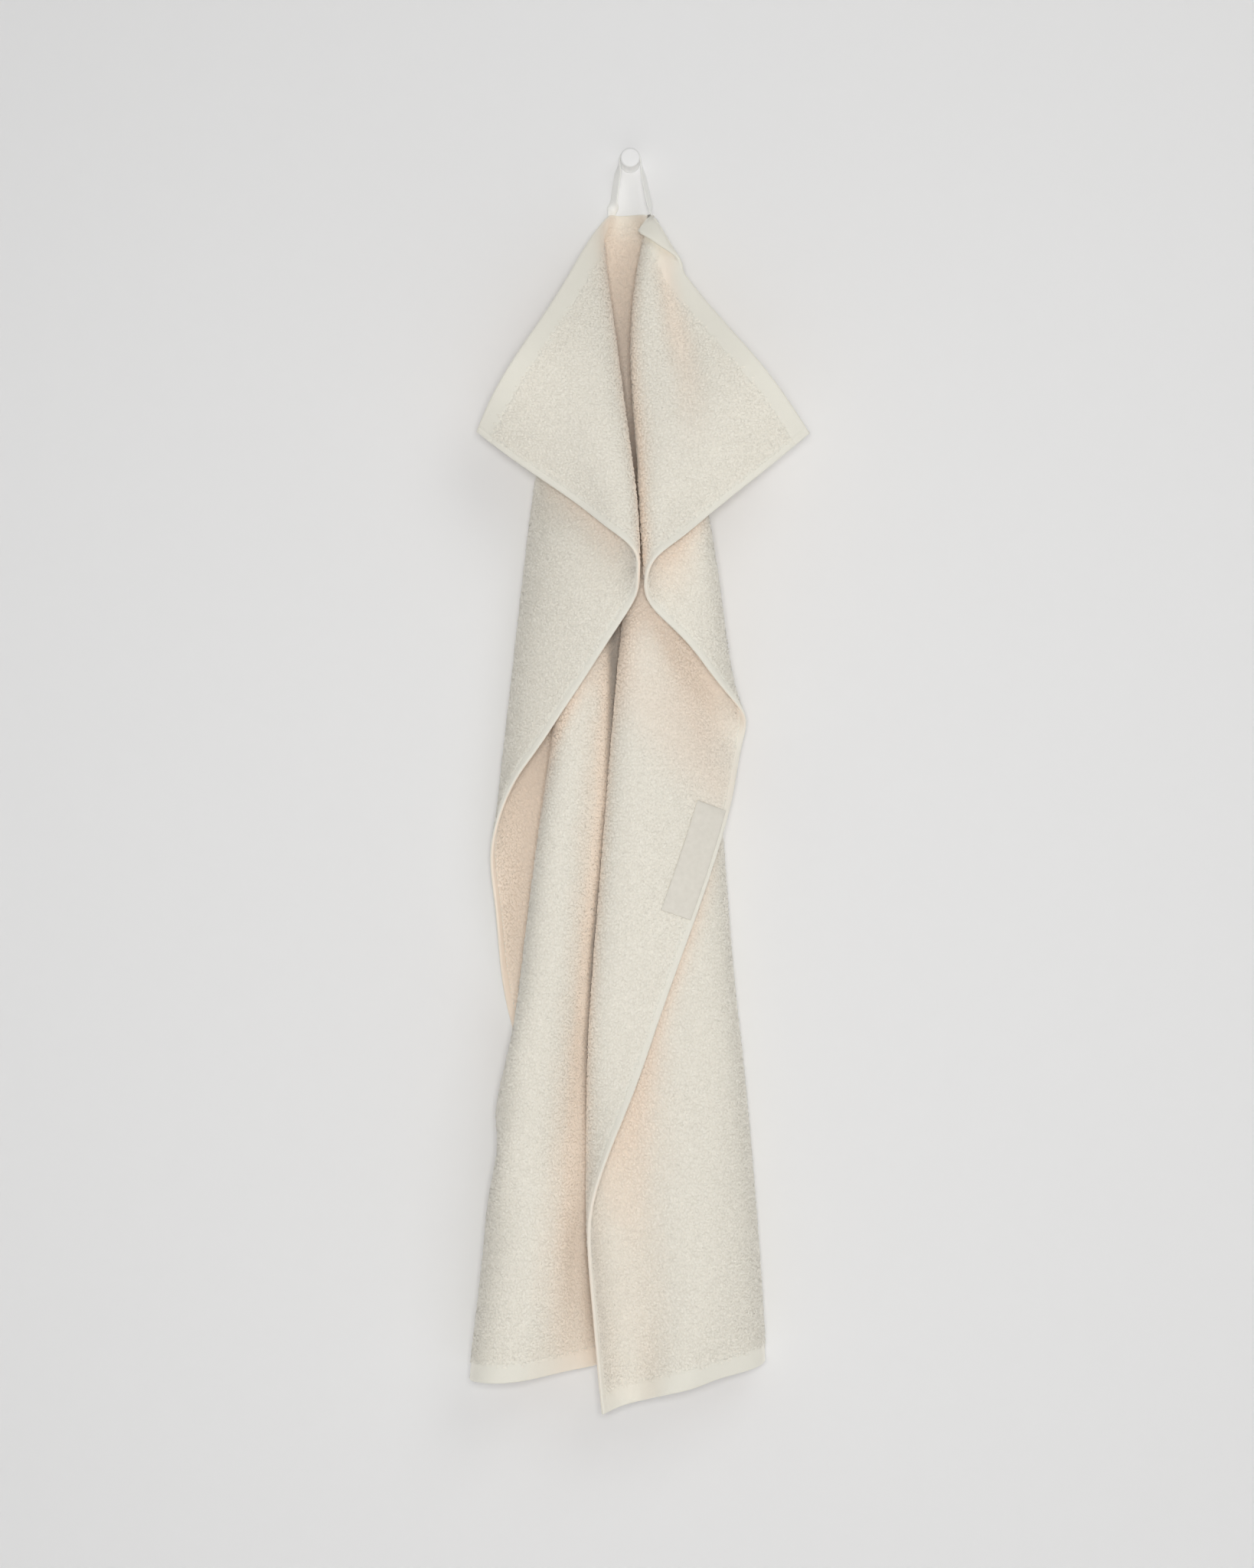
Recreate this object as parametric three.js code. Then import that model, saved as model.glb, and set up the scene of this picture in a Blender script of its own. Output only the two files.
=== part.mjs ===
// Guest towel on a hook: a terry towel hung by the sewn loop of its short edge on a small round wall peg.
// Millimetres. +Z is up, the wall is the plane y = 0 and the room is on the -y side.
// The origin is the middle of the peg's flat back face, on the wall.
import * as THREE from "three";

// The towel, cut and sewn.
const TOWEL_WIDE = 500;
const TOWEL_LONG = 900;
const PILE_THICK = 4.2;
const HEM_THICK = 3.0;
const CELL = 12.5;

// The peg, turned about the y axis.
const PEG_SIDES = 48;
const PEG_PROFILE = [
  { out: 0, radius: 8.0 },
  { out: 2.5, radius: 8.0 },
  { out: 4.0, radius: 7.2 },
  { out: 16.0, radius: 7.2 },
  { out: 17.2, radius: 7.6 },
  { out: 21.6, radius: 7.6 },
  { out: 22.6, radius: 7.2 },
  { out: 23.0, radius: 6.3 },
];
const PEG_WAIST_RADIUS = 7.2;
const PEG_WAIST_MIDDLE = 10;

// The loop: a flat tape sewn into the top hem at two places.
const TAPE_WIDE = 9;
const TAPE_THICK = 1.0;
const TAPE_STEPS = 16;
const TAPE_END_LIFT = 1.0;
const TAPE_INSET_SHARE = 0.35;
const LOOP_HALF_SPREAD = 25;
const GAP = 0.4;

// The woven label, sewn flat beside the right selvage.
const LABEL_LONG = 90;
const LABEL_WIDE = 25;
const LABEL_THICK = 0.8;
const LABEL_TOP = 414;
const LABEL_INSET = 3.5;
const LABEL_ROWS = 18;
const LABEL_COLS = 5;

const TERRY = new THREE.MeshStandardMaterial({ color: 0xebe4d6, roughness: 0.95, metalness: 0 });
const TAPE = new THREE.MeshStandardMaterial({ color: 0xf0efe9, roughness: 0.8, metalness: 0 });
const WOVEN = new THREE.MeshStandardMaterial({ color: 0xd9d5c9, roughness: 0.75, metalness: 0 });
const PLASTIC = new THREE.MeshStandardMaterial({ color: 0xe9e9e7, roughness: 0.45, metalness: 0 });

// How the cloth hangs. Each row is a section that lies `down` millimetres of cloth below the top hem.
// In a row, `along` gives places across the cloth, from the left selvage to the right one, and for each place
// `across` is its x, `out` its distance from the wall and `drop` its depth below the peg.
const SECTIONS = [
  {
    down: 0,
    along: [-250, -200, -150, -100, -50, -25, 0, 25, 50, 100, 150, 200, 250],
    across: [-117, -99, -78, -55, -29, -16, 7, 14, 22, 50, 81, 109, 137],
    out: [66, 80, 84, 70, 34, 11, 8, 33, 39, 57, 78, 82, 68],
    drop: [217, 183, 147, 106, 62, 41, 43, 46, 68, 111, 147, 181, 222],
  },
  {
    down: 45,
    along: [-250, -200, -150, -92, -50, -25, 0, 20, 45, 70, 110, 150, 200, 250],
    across: [-84, -60, -32, -2, -20, -16, -2, 4, -3, -9, 28, 57, 81, 103],
    out: [74, 86, 82, 48, 20, 11, 9, 15, 36, 55, 48, 74, 84, 76],
    drop: [246, 208, 168, 130, 98, 88, 85, 88, 101, 126, 148, 180, 216, 250],
  },
  {
    down: 90,
    along: [-250, -200, -145, -105, -72, -45, -20, 0, 30, 70, 128, 160, 200, 250],
    across: [-51, -24, 5, -22, -38, -30, -14, 2, 22, 28, -6, 18, 42, 69],
    out: [84, 92, 64, 46, 24, 14, 9, 8, 10, 34, 66, 84, 92, 86],
    drop: [269, 236, 200, 168, 148, 138, 132, 130, 134, 156, 208, 226, 246, 276],
  },
  {
    down: 135,
    along: [-250, -215, -170, -128, -95, -68, -40, -18, 0, 30, 62, 100, 135, 172, 210, 250],
    across: [-13, 6, -14, -38, -46, -36, -26, -12, 0, 20, 33, 34, 34, 14, 3, 34],
    out: [92, 82, 70, 48, 24, 12, 20, 12, 8, 11, 20, 38, 56, 72, 84, 93],
    drop: [294, 272, 252, 228, 206, 194, 184, 178, 176, 181, 194, 214, 234, 261, 280, 301],
  },
  {
    down: 180,
    along: [-250, -200, -155, -118, -88, -56, -26, 0, 32, 62, 94, 126, 160, 205, 250],
    across: [8, -18, -46, -62, -52, -34, -17, 2, 24, 36, 30, 39, 48, 33, 13],
    out: [93, 80, 62, 36, 12, 28, 13, 8, 10, 20, 40, 50, 62, 82, 93],
    drop: [330, 296, 268, 250, 238, 230, 223, 220, 223, 230, 240, 252, 272, 299, 331],
  },
  {
    down: 270,
    along: [-250, -200, -160, -124, -84, -48, 0, 44, 84, 126, 164, 208, 250],
    across: [-28, -63, -82, -64, -38, -20, 6, 44, 26, 4, 34, 68, 50],
    out: [76, 62, 34, 10, 30, 12, 9, 14, 28, 46, 56, 52, 76],
    drop: [406, 376, 354, 338, 326, 317, 310, 316, 326, 338, 354, 378, 403],
  },
  {
    down: 315,
    along: [-250, -220, -192, -165, -142, -115, -90, -64, -44, 0, 46, 88, 128, 160, 192, 226, 250],
    across: [-53, -78, -92, -84, -66, -52, -36, -20, -10, 14, 50, 24, -10, 21, 51, 79, 75],
    out: [65, 54, 36, 14, 9, 26, 38, 26, 11, 9, 15, 31, 50, 58, 52, 44, 54],
    drop: [438, 424, 412, 402, 393, 384, 377, 370, 365, 355, 362, 372, 384, 397, 411, 425, 433],
  },
  {
    down: 360,
    along: [-250, -225, -200, -165, -136, -100, -75, -48, 0, 50, 90, 130, 165, 205, 250],
    across: [-76, -95, -88, -60, -57, -36, -20, -8, 22, 56, 22, -21, 14, 54, 92],
    out: [52, 36, 14, 9, 34, 46, 36, 12, 9, 18, 34, 54, 62, 52, 32],
    drop: [471, 458, 446, 436, 430, 420, 413, 407, 400, 408, 418, 430, 441, 454, 468],
  },
  {
    down: 450,
    along: [-250, -215, -185, -150, -110, -80, -55, 0, 45, 100, 150, 200, 250],
    across: [-106, -76, -56, -74, -46, -22, -12, 36, 70, 24, -22, 26, 69],
    out: [38, 14, 10, 40, 58, 38, 12, 9, 24, 42, 54, 67, 56],
    drop: [555, 537, 528, 518, 506, 500, 496, 490, 496, 506, 516, 532, 550],
  },
  {
    down: 525,
    along: [-250, -220, -192, -164, -130, -104, -78, -62, -40, -16, 8, 30, 52, 100, 140, 174, 212, 250],
    across: [-101, -80, -66, -84, -62, -42, -24, -15, 0, 17, 33, 49, 63, 33, 1, -27, 8, 43],
    out: [24, 11, 14, 46, 64, 60, 37, 13, 9, 26, 9, 26, 28, 46, 49, 58, 70, 64],
    drop: [628, 615, 606, 596, 586, 579, 573, 570, 567, 565, 565, 567, 571, 579, 587, 595, 606, 618],
  },
  {
    down: 600,
    along: [-250, -225, -200, -178, -150, -125, -100, -72, -46, -20, 6, 30, 56, 100, 150, 200, 250],
    across: [-92, -74, -77, -87, -75, -54, -34, -20, -2, 16, 33, 49, 67, 47, 7, -28, 18],
    out: [14, 11, 26, 46, 66, 68, 48, 14, 9, 28, 9, 28, 31, 50, 56, 58, 66],
    drop: [702, 691, 682, 674, 664, 658, 652, 648, 645, 642, 641, 643, 647, 653, 661, 672, 687],
  },
  {
    down: 675,
    along: [-250, -226, -202, -184, -162, -138, -110, -80, -52, -24, 4, 30, 60, 100, 150, 195, 218, 250],
    across: [-86, -77, -86, -94, -88, -69, -44, -22, -5, 16, 37, 56, 77, 62, 22, -17, -30, -8],
    out: [8, 22, 42, 55, 72, 75, 58, 16, 9, 29, 9, 28, 31, 51, 60, 56, 60, 80],
    drop: [772, 764, 756, 751, 744, 737, 729, 724, 720, 717, 716, 717, 720, 726, 734, 744, 750, 757],
  },
  {
    down: 720,
    along: [-250, -226, -202, -180, -155, -130, -104, -75, -40, 0, 38, 70, 100, 150, 200, 228, 250],
    across: [-88, -87, -95, -94, -81, -62, -39, -22, 7, 38, 64, 85, 69, 30, -12, -29, -21],
    out: [8, 26, 47, 66, 80, 77, 54, 16, 9, 28, 9, 29, 52, 63, 62, 66, 80],
    drop: [810, 802, 795, 790, 784, 778, 772, 768, 763, 760, 762, 766, 770, 778, 787, 793, 797],
  },
  {
    down: 750,
    along: [-250, -225, -202, -175, -150, -125, -100, -72, -38, 0, 38, 72, 104, 150, 200, 230, 250],
    across: [-89, -95, -103, -97, -79, -57, -37, -22, 7, 37, 67, 89, 75, 38, -6, -25, -28],
    out: [9, 24, 47, 68, 82, 76, 52, 16, 9, 31, 9, 29, 53, 66, 66, 70, 80],
    drop: [839, 832, 826, 820, 814, 808, 803, 798, 794, 790, 792, 796, 801, 808, 817, 822, 827],
  },
  {
    down: 900,
    along: [-250, -222, -198, -170, -145, -120, -95, -68, -34, 4, 44, 80, 110, 155, 205, 250],
    across: [-94, -116, -125, -114, -93, -68, -46, -26, 4, 38, 74, 101, 88, 50, 12, -14],
    out: [10, 22, 46, 66, 76, 70, 52, 18, 9, 36, 9, 30, 52, 66, 70, 70],
    drop: [963, 958, 954, 951, 948, 945, 942, 939, 937, 938, 940, 945, 950, 958, 968, 980],
  },
];

// How the first shape is settled: the weave keeps its length, folds stay round, layers keep apart.
const SETTLE_ROUNDS = 420;
const FREE_ROUNDS = 160;
const SHEAR_HOLD = 0.12;
const FOLD_ROUND = 0.032;
const LAYER_GAP = 10.5;
const SAME_LAYER_CELLS = 3;
const WALL_GAP = 4.5;
const EDGE_HOLD = 0.12;
const EDGE_HOLD_OUT = 0.03;
const BODY_HOLD = 0.016;
const LEFT_EDGE_FREE_FROM = 610;

const COLS = Math.round(TOWEL_WIDE / CELL);
const ROWS = Math.round(TOWEL_LONG / CELL);
const WIDE = COLS + 1;
const POINTS = WIDE * (ROWS + 1);
const LOOP_LEFT = Math.round(COLS / 2 - LOOP_HALF_SPREAD / CELL);
const LOOP_RIGHT = Math.round(COLS / 2 + LOOP_HALF_SPREAD / CELL);

const at = (col, row) => row * WIDE + col;
const along = (col) => col * CELL - TOWEL_WIDE / 2;

// A smooth curve through a table's values, read at one place.
function curve(places, values, place) {
  const last = places.length - 1;
  let k = 0;
  while (k < last - 1 && place > places[k + 1]) k += 1;
  const slope = (n) => {
    const a = Math.max(0, n - 1);
    const b = Math.min(last, n + 1);
    return (values[b] - values[a]) / (places[b] - places[a]);
  };
  const step = places[k + 1] - places[k];
  const t = (place - places[k]) / step;
  const t2 = t * t;
  const t3 = t2 * t;
  return (
    (2 * t3 - 3 * t2 + 1) * values[k] +
    (t3 - 2 * t2 + t) * step * slope(k) +
    (3 * t2 - 2 * t3) * values[k + 1] +
    (t3 - t2) * step * slope(k + 1)
  );
}

// The first shape: every section read at each column, then each column read at each row.
function firstShape() {
  const shape = new Float64Array(POINTS * 3);
  const downs = SECTIONS.map((s) => s.down);
  for (let col = 0; col <= COLS; col += 1) {
    const x = SECTIONS.map((s) => curve(s.along, s.across, along(col)));
    const out = SECTIONS.map((s) => curve(s.along, s.out, along(col)));
    const drop = SECTIONS.map((s) => curve(s.along, s.drop, along(col)));
    for (let row = 0; row <= ROWS; row += 1) {
      const down = row * CELL;
      shape.set(
        [curve(downs, x, down), -curve(downs, out, down), -curve(downs, drop, down)],
        at(col, row) * 3,
      );
    }
  }
  return shape;
}

// Moves two points so that they come nearer to their distance in the flat cloth.
function keepLength(p, a, b, length, share) {
  const dx = p[b * 3] - p[a * 3];
  const dy = p[b * 3 + 1] - p[a * 3 + 1];
  const dz = p[b * 3 + 2] - p[a * 3 + 2];
  const far = Math.hypot(dx, dy, dz) || 1e-9;
  const move = (0.5 * share * (far - length)) / far;
  p[a * 3] += dx * move;
  p[a * 3 + 1] += dy * move;
  p[a * 3 + 2] += dz * move;
  p[b * 3] -= dx * move;
  p[b * 3 + 1] -= dy * move;
  p[b * 3 + 2] -= dz * move;
}

// Every other thread, then the rest, so that the order within a group doesn't matter.
function keepWeave(p) {
  for (let odd = 0; odd < 2; odd += 1) {
    for (let row = 0; row <= ROWS; row += 1) {
      for (let col = odd; col < COLS; col += 2) keepLength(p, at(col, row), at(col + 1, row), CELL, 1);
    }
  }
  for (let odd = 0; odd < 2; odd += 1) {
    for (let row = odd; row < ROWS; row += 2) {
      for (let col = 0; col <= COLS; col += 1) keepLength(p, at(col, row), at(col, row + 1), CELL, 1);
    }
  }
  const slant = CELL * Math.SQRT2;
  for (let odd = 0; odd < 2; odd += 1) {
    for (let row = odd; row < ROWS; row += 2) {
      for (let col = 0; col < COLS; col += 1) {
        keepLength(p, at(col, row), at(col + 1, row + 1), slant, SHEAR_HOLD);
      }
    }
    for (let row = odd; row < ROWS; row += 2) {
      for (let col = 0; col < COLS; col += 1) {
        keepLength(p, at(col + 1, row), at(col, row + 1), slant, SHEAR_HOLD);
      }
    }
  }
}

// Takes a little of the bend out of each three points in a row, across and along the cloth.
function roundFolds(p) {
  const before = p.slice();
  const straighten = (n, step) => {
    for (let k = 0; k < 3; k += 1) {
      const bend = before[n - step + k] - 2 * before[n + k] + before[n + step + k];
      p[n - step + k] -= FOLD_ROUND * bend;
      p[n + k] += 2 * FOLD_ROUND * bend;
      p[n + step + k] -= FOLD_ROUND * bend;
    }
  };
  for (let row = 0; row <= ROWS; row += 1) {
    for (let col = 0; col <= COLS; col += 1) {
      const n = at(col, row) * 3;
      if (col > 0 && col < COLS) straighten(n, 3);
      if (row > 0 && row < ROWS) straighten(n, 3 * WIDE);
    }
  }
}

// Pushes apart points of different layers that have come too near.
function keepLayersApart(p) {
  const boxes = new Map();
  const keyOf = (x, y, z) => (x + 200) * 1000000 + (y + 200) * 1000 + (z + 400);
  const cellOf = (n, k) => Math.floor(p[n * 3 + k] / LAYER_GAP);
  for (let n = 0; n < POINTS; n += 1) {
    const key = keyOf(cellOf(n, 0), cellOf(n, 1), cellOf(n, 2));
    if (!boxes.has(key)) boxes.set(key, []);
    boxes.get(key).push(n);
  }
  const push = new Float64Array(POINTS * 3);
  for (let n = 0; n < POINTS; n += 1) {
    const col = n % WIDE;
    const row = (n - col) / WIDE;
    for (let bx = -1; bx <= 1; bx += 1) {
      for (let by = -1; by <= 1; by += 1) {
        for (let bz = -1; bz <= 1; bz += 1) {
          const others = boxes.get(keyOf(cellOf(n, 0) + bx, cellOf(n, 1) + by, cellOf(n, 2) + bz));
          if (!others) continue;
          for (const m of others) {
            const col2 = m % WIDE;
            const row2 = (m - col2) / WIDE;
            if (Math.abs(col - col2) < SAME_LAYER_CELLS && Math.abs(row - row2) < SAME_LAYER_CELLS) continue;
            const d = [0, 1, 2].map((k) => p[n * 3 + k] - p[m * 3 + k]);
            const far = Math.hypot(...d) || 1e-9;
            if (far >= LAYER_GAP) continue;
            for (let k = 0; k < 3; k += 1) push[n * 3 + k] += (0.3 * (LAYER_GAP - far) * d[k]) / far;
          }
        }
      }
    }
  }
  for (let n = 0; n < POINTS * 3; n += 1) p[n] += push[n];
}

// Draws the edges, and the rest more weakly, back to where the first shape has them.
function holdPlaces(p, first, strength) {
  for (let row = 0; row <= ROWS; row += 1) {
    for (let col = 0; col <= COLS; col += 1) {
      const n = at(col, row) * 3;
      const leftEdge = col === 0 && row * CELL < LEFT_EDGE_FREE_FROM;
      const edge = row === 0 || row === ROWS || leftEdge || col === COLS;
      const side = (edge ? EDGE_HOLD : BODY_HOLD) * strength;
      const out = (edge ? EDGE_HOLD_OUT : BODY_HOLD) * strength;
      const drop = (edge ? EDGE_HOLD : 0) * strength;
      p[n] += side * (first[n] - p[n]);
      p[n + 1] += out * (first[n + 1] - p[n + 1]);
      p[n + 2] += drop * (first[n + 2] - p[n + 2]);
      p[n + 1] = Math.min(p[n + 1], -WALL_GAP);
    }
  }
}

// The loop holds the top hem at its two ends.
function pinLoop(p, first) {
  for (const col of [LOOP_LEFT, LOOP_RIGHT]) {
    const n = at(col, 0) * 3;
    for (let k = 0; k < 3; k += 1) p[n + k] = first[n + k];
  }
}

// The hung cloth, as the points of its middle surface.
function hangCloth() {
  const first = firstShape();
  const p = first.slice();
  for (let round = 0; round < SETTLE_ROUNDS + FREE_ROUNDS; round += 1) {
    const strength = round < SETTLE_ROUNDS ? 1 : 0.25;
    roundFolds(p);
    if (round % 3 === 0) keepLayersApart(p);
    holdPlaces(p, first, strength);
    for (let n = 0; n < 2; n += 1) {
      keepWeave(p);
      pinLoop(p, first);
    }
  }
  return p;
}

const cloth = hangCloth();
const point = (col, row) => new THREE.Vector3().fromArray(cloth, at(col, row) * 3);

// The side of the cloth that faces the room when it is held flat.
function facing(col, row) {
  const acrossCloth = point(Math.min(COLS, col + 1), row).sub(point(Math.max(0, col - 1), row));
  const downCloth = point(col, Math.min(ROWS, row + 1)).sub(point(col, Math.max(0, row - 1)));
  return downCloth.cross(acrossCloth).normalize();
}

// A closed mesh from points and triangles.
function meshOf(name, points, triangles, material) {
  const places = points.flatMap((v) => [v.x, v.y, v.z]);
  const geometry = new THREE.BufferGeometry();
  geometry.setAttribute("position", new THREE.Float32BufferAttribute(places, 3));
  geometry.setIndex(triangles);
  geometry.computeVertexNormals();
  const mesh = new THREE.Mesh(geometry, material);
  mesh.name = name;
  return mesh;
}

// A sheet with two faces and a rim, from the points of its front and of its back, `wide` points in a row.
function sheetOf(name, front, back, wide, material) {
  const rows = front.length / wide;
  const count = front.length;
  const triangles = [];
  const quad = (a, b, c, d) => triangles.push(a, b, c, a, c, d);
  for (let row = 0; row < rows - 1; row += 1) {
    for (let col = 0; col < wide - 1; col += 1) {
      const n = row * wide + col;
      const corners = [n, n + wide, n + wide + 1, n + 1];
      const slantA = front[corners[0]].distanceTo(front[corners[2]]);
      const slantB = front[corners[1]].distanceTo(front[corners[3]]);
      if (slantB > slantA) corners.push(corners.shift());
      quad(...corners);
      const behind = corners.map((c) => count + c);
      quad(behind[0], behind[3], behind[2], behind[1]);
    }
  }
  for (let col = 0; col < wide - 1; col += 1) {
    const low = (rows - 1) * wide + col;
    quad(col, col + 1, count + col + 1, count + col);
    quad(low + 1, low, count + low, count + low + 1);
  }
  for (let row = 0; row < rows - 1; row += 1) {
    const left = row * wide;
    const right = left + wide - 1;
    quad(left + wide, left, count + left, count + left + wide);
    quad(right, right + wide, count + right + wide, count + right);
  }
  return meshOf(name, [...front, ...back], triangles, material);
}

// The towel: pile on both sides of its middle surface, thinner at the sewn edges.
function makeTowel() {
  const front = [];
  const back = [];
  for (let row = 0; row <= ROWS; row += 1) {
    for (let col = 0; col <= COLS; col += 1) {
      const hem = row === 0 || row === ROWS || col === 0 || col === COLS;
      const half = (hem ? HEM_THICK : PILE_THICK) / 2;
      const side = facing(col, row);
      front.push(point(col, row).addScaledVector(side, half));
      back.push(point(col, row).addScaledVector(side, -half));
    }
  }
  return sheetOf("towel", front, back, WIDE, TERRY);
}

// The peg is turned about the y axis, from the middle of its front to the middle of its back.
function makeHook() {
  const rings = PEG_PROFILE.map(({ out, radius }) => new THREE.Vector2(radius, -out)).reverse();
  const front = new THREE.Vector2(0, rings[0].y);
  const back = new THREE.Vector2(0, rings.at(-1).y);
  const hook = new THREE.Mesh(new THREE.LatheGeometry([front, ...rings, back], PEG_SIDES), PLASTIC);
  hook.name = "hook";
  return hook;
}

// The middle line of the tape, from the left end up over the peg and down to the right end.
// Its width faces the room at the left end, runs out from the wall on the peg
// and follows the hem at the right end.
function tapeLine() {
  const radius = PEG_WAIST_RADIUS + GAP + TAPE_THICK / 2;
  const lift = new THREE.Vector3(0, 0, TAPE_END_LIFT);
  const start = point(LOOP_LEFT, 0).lerp(point(LOOP_LEFT + 1, 0), TAPE_INSET_SHARE).add(lift);
  const end = point(LOOP_RIGHT, 0).add(lift);
  const outward = new THREE.Vector3(0, -1, 0);
  const alongHem = point(LOOP_RIGHT + 1, 0).sub(point(LOOP_RIGHT - 1, 0)).normalize();
  const onPeg = (turn) =>
    new THREE.Vector3(radius * Math.cos(turn), -PEG_WAIST_MIDDLE, radius * Math.sin(turn));
  const line = [];
  for (let n = 0; n < TAPE_STEPS; n += 1) {
    const share = n / TAPE_STEPS;
    const twist = (Math.PI / 2) * (1 - share);
    line.push({
      place: start.clone().lerp(onPeg(Math.PI), share),
      width: new THREE.Vector3(Math.sin(twist), -Math.cos(twist), 0),
    });
  }
  for (let n = 0; n <= TAPE_STEPS; n += 1) {
    line.push({ place: onPeg(Math.PI * (1 - n / TAPE_STEPS)), width: outward });
  }
  for (let n = 1; n <= TAPE_STEPS; n += 1) {
    const share = n / TAPE_STEPS;
    line.push({ place: onPeg(0).lerp(end, share), width: outward.clone().lerp(alongHem, share).normalize() });
  }
  return line;
}

// The tape as a thin strip, three points wide.
function makeLoop() {
  const line = tapeLine();
  const front = [];
  const back = [];
  line.forEach(({ place, width }, n) => {
    const before = line[Math.max(0, n - 1)].place;
    const after = line[Math.min(line.length - 1, n + 1)].place;
    const forward = after.clone().sub(before).normalize();
    const face = forward.clone().cross(width).normalize();
    for (const side of [-0.5, 0, 0.5]) {
      const middle = place.clone().addScaledVector(width, side * TAPE_WIDE);
      front.push(middle.clone().addScaledVector(face, TAPE_THICK / 2));
      back.push(middle.clone().addScaledVector(face, -TAPE_THICK / 2));
    }
  });
  return sheetOf("hang_loop", front, back, 3, TAPE);
}

// A place on the room side of the pile, and the way that it faces, by blending the four points around it.
function onCloth(alongCloth, down) {
  const x = (alongCloth + TOWEL_WIDE / 2) / CELL;
  const y = down / CELL;
  const col = Math.min(COLS - 1, Math.floor(x));
  const row = Math.min(ROWS - 1, Math.floor(y));
  const blend = (of) => {
    const top = of(col, row).lerp(of(col + 1, row), x - col);
    const low = of(col, row + 1).lerp(of(col + 1, row + 1), x - col);
    return top.lerp(low, y - row);
  };
  return { place: blend(point), face: blend(facing).normalize() };
}

// The label lies on the pile and bends with it.
function makeLabel() {
  const front = [];
  const back = [];
  const right = TOWEL_WIDE / 2 - LABEL_INSET;
  for (let row = 0; row <= LABEL_ROWS; row += 1) {
    for (let col = 0; col <= LABEL_COLS; col += 1) {
      const { place, face } = onCloth(
        right - LABEL_WIDE * (1 - col / LABEL_COLS),
        LABEL_TOP + (LABEL_LONG * row) / LABEL_ROWS,
      );
      const lift = PILE_THICK / 2 + GAP;
      back.push(place.clone().addScaledVector(face, lift));
      front.push(place.clone().addScaledVector(face, lift + LABEL_THICK));
    }
  }
  return sheetOf("label", front, back, LABEL_COLS + 1, WOVEN);
}

const part = new THREE.Group();
part.add(makeTowel(), makeLoop(), makeHook(), makeLabel());

export default part;
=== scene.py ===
"""A guest towel hung by its tape loop on a small round wall peg: looks, light and camera."""

import math

import bpy
import numpy as np
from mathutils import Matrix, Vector
from mathutils.bvhtree import BVHTree


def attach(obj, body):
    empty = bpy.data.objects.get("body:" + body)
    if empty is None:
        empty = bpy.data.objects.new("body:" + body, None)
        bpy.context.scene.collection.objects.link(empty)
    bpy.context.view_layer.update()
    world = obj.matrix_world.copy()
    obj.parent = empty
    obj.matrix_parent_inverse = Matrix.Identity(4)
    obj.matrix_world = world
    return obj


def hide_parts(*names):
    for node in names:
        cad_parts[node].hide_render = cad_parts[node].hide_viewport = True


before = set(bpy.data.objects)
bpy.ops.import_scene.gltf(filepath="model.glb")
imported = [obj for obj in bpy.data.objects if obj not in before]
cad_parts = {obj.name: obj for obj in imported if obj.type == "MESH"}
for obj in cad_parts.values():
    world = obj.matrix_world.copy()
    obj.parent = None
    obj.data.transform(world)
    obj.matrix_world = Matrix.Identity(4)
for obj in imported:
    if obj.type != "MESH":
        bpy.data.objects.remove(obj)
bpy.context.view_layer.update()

MM = 0.001
TINY = 1e-9
SEED = 7
TO_ROOM = np.array([0.0, -1.0, 0.0])

# The towel, cut and sewn, in millimetres, and the grid on which it is hung.
TOWEL_WIDE = 500.0
TOWEL_LONG = 900.0
CELL = 12.5
COLS = round(TOWEL_WIDE / CELL)
ROWS = round(TOWEL_LONG / CELL)

# Its ground weave: half its thickness, inside and at the rounded edge, and how closely its faces are drawn.
GROUND_HALF = 1.15
EDGE_HALF = 0.4
EDGE_ROUND = 1.5
EDGE_PLACES = [0, 0.5, 1.2, 2.2]
FINE_CELL = 4.0

# How closely the hung cloth is sampled, and the step over which its facing is measured.
SAMPLE_PITCH = 2.0
FACING_STEP = 0.5

# Its hems: their widths, half their thickness, the slope where they end and the groove of their stitches.
SIDE_HEM = 7.0
END_HEM = 17.0
HEM_HALF = 1.45
HEM_SLOPE = (-0.4, 0.9)
HEM_CELL = 1.1
STITCH_INSET = 1.6
SEAM_PLACES = [-3.0, -STITCH_INSET - 0.6, -STITCH_INSET, -STITCH_INSET + 0.6, 0, 1.2]
GROOVE_HALF = 0.8
GROOVE_DEEP = 0.45

# Right of the loop the top hem turns over and shows its back as a short lip: where it starts, is longest and
# ends along the hem, its length, and how round, how far and which way it turns.
LIP_ALONG = [24, 35, 84]
LIP_LONG = 22.0
LIP_ROUND = 2.4
LIP_TURN = 3.05
LIP_WAY = (-0.80, -0.05, -0.60)

# Strokes on the cloth: each point has its place across and down, its depth and its half width. The crease
# goes into the right flap, and the fill lifts the flank beside the long ridge towards the room.
CREASE = [
    (58, 6, 5.0, 6),
    (80, 14, 8.0, 7),
    (120, 33, 7.5, 9),
    (155, 48, 5.0, 11),
    (190, 72, 2.0, 14),
    (215, 100, 0.0, 16),
]
FILL = [
    (-48, 295, 0.0, 14),
    (-54, 345, 10.0, 17),
    (-64, 450, 13.0, 18),
    (-76, 600, 16.0, 19),
    (-80, 750, 15.0, 20),
    (-72, 900, 12.0, 20),
]
# This stroke moves nothing: its depth is the share of painted warm shade that it adds to the cloth below the
# right edge, where that edge shades it.
PAINTED_WARM_SHADE = [
    (150, 350, 0.25, 24),
    (205, 372, 0.4, 30),
    (232, 396, 0.3, 24),
]
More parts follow.
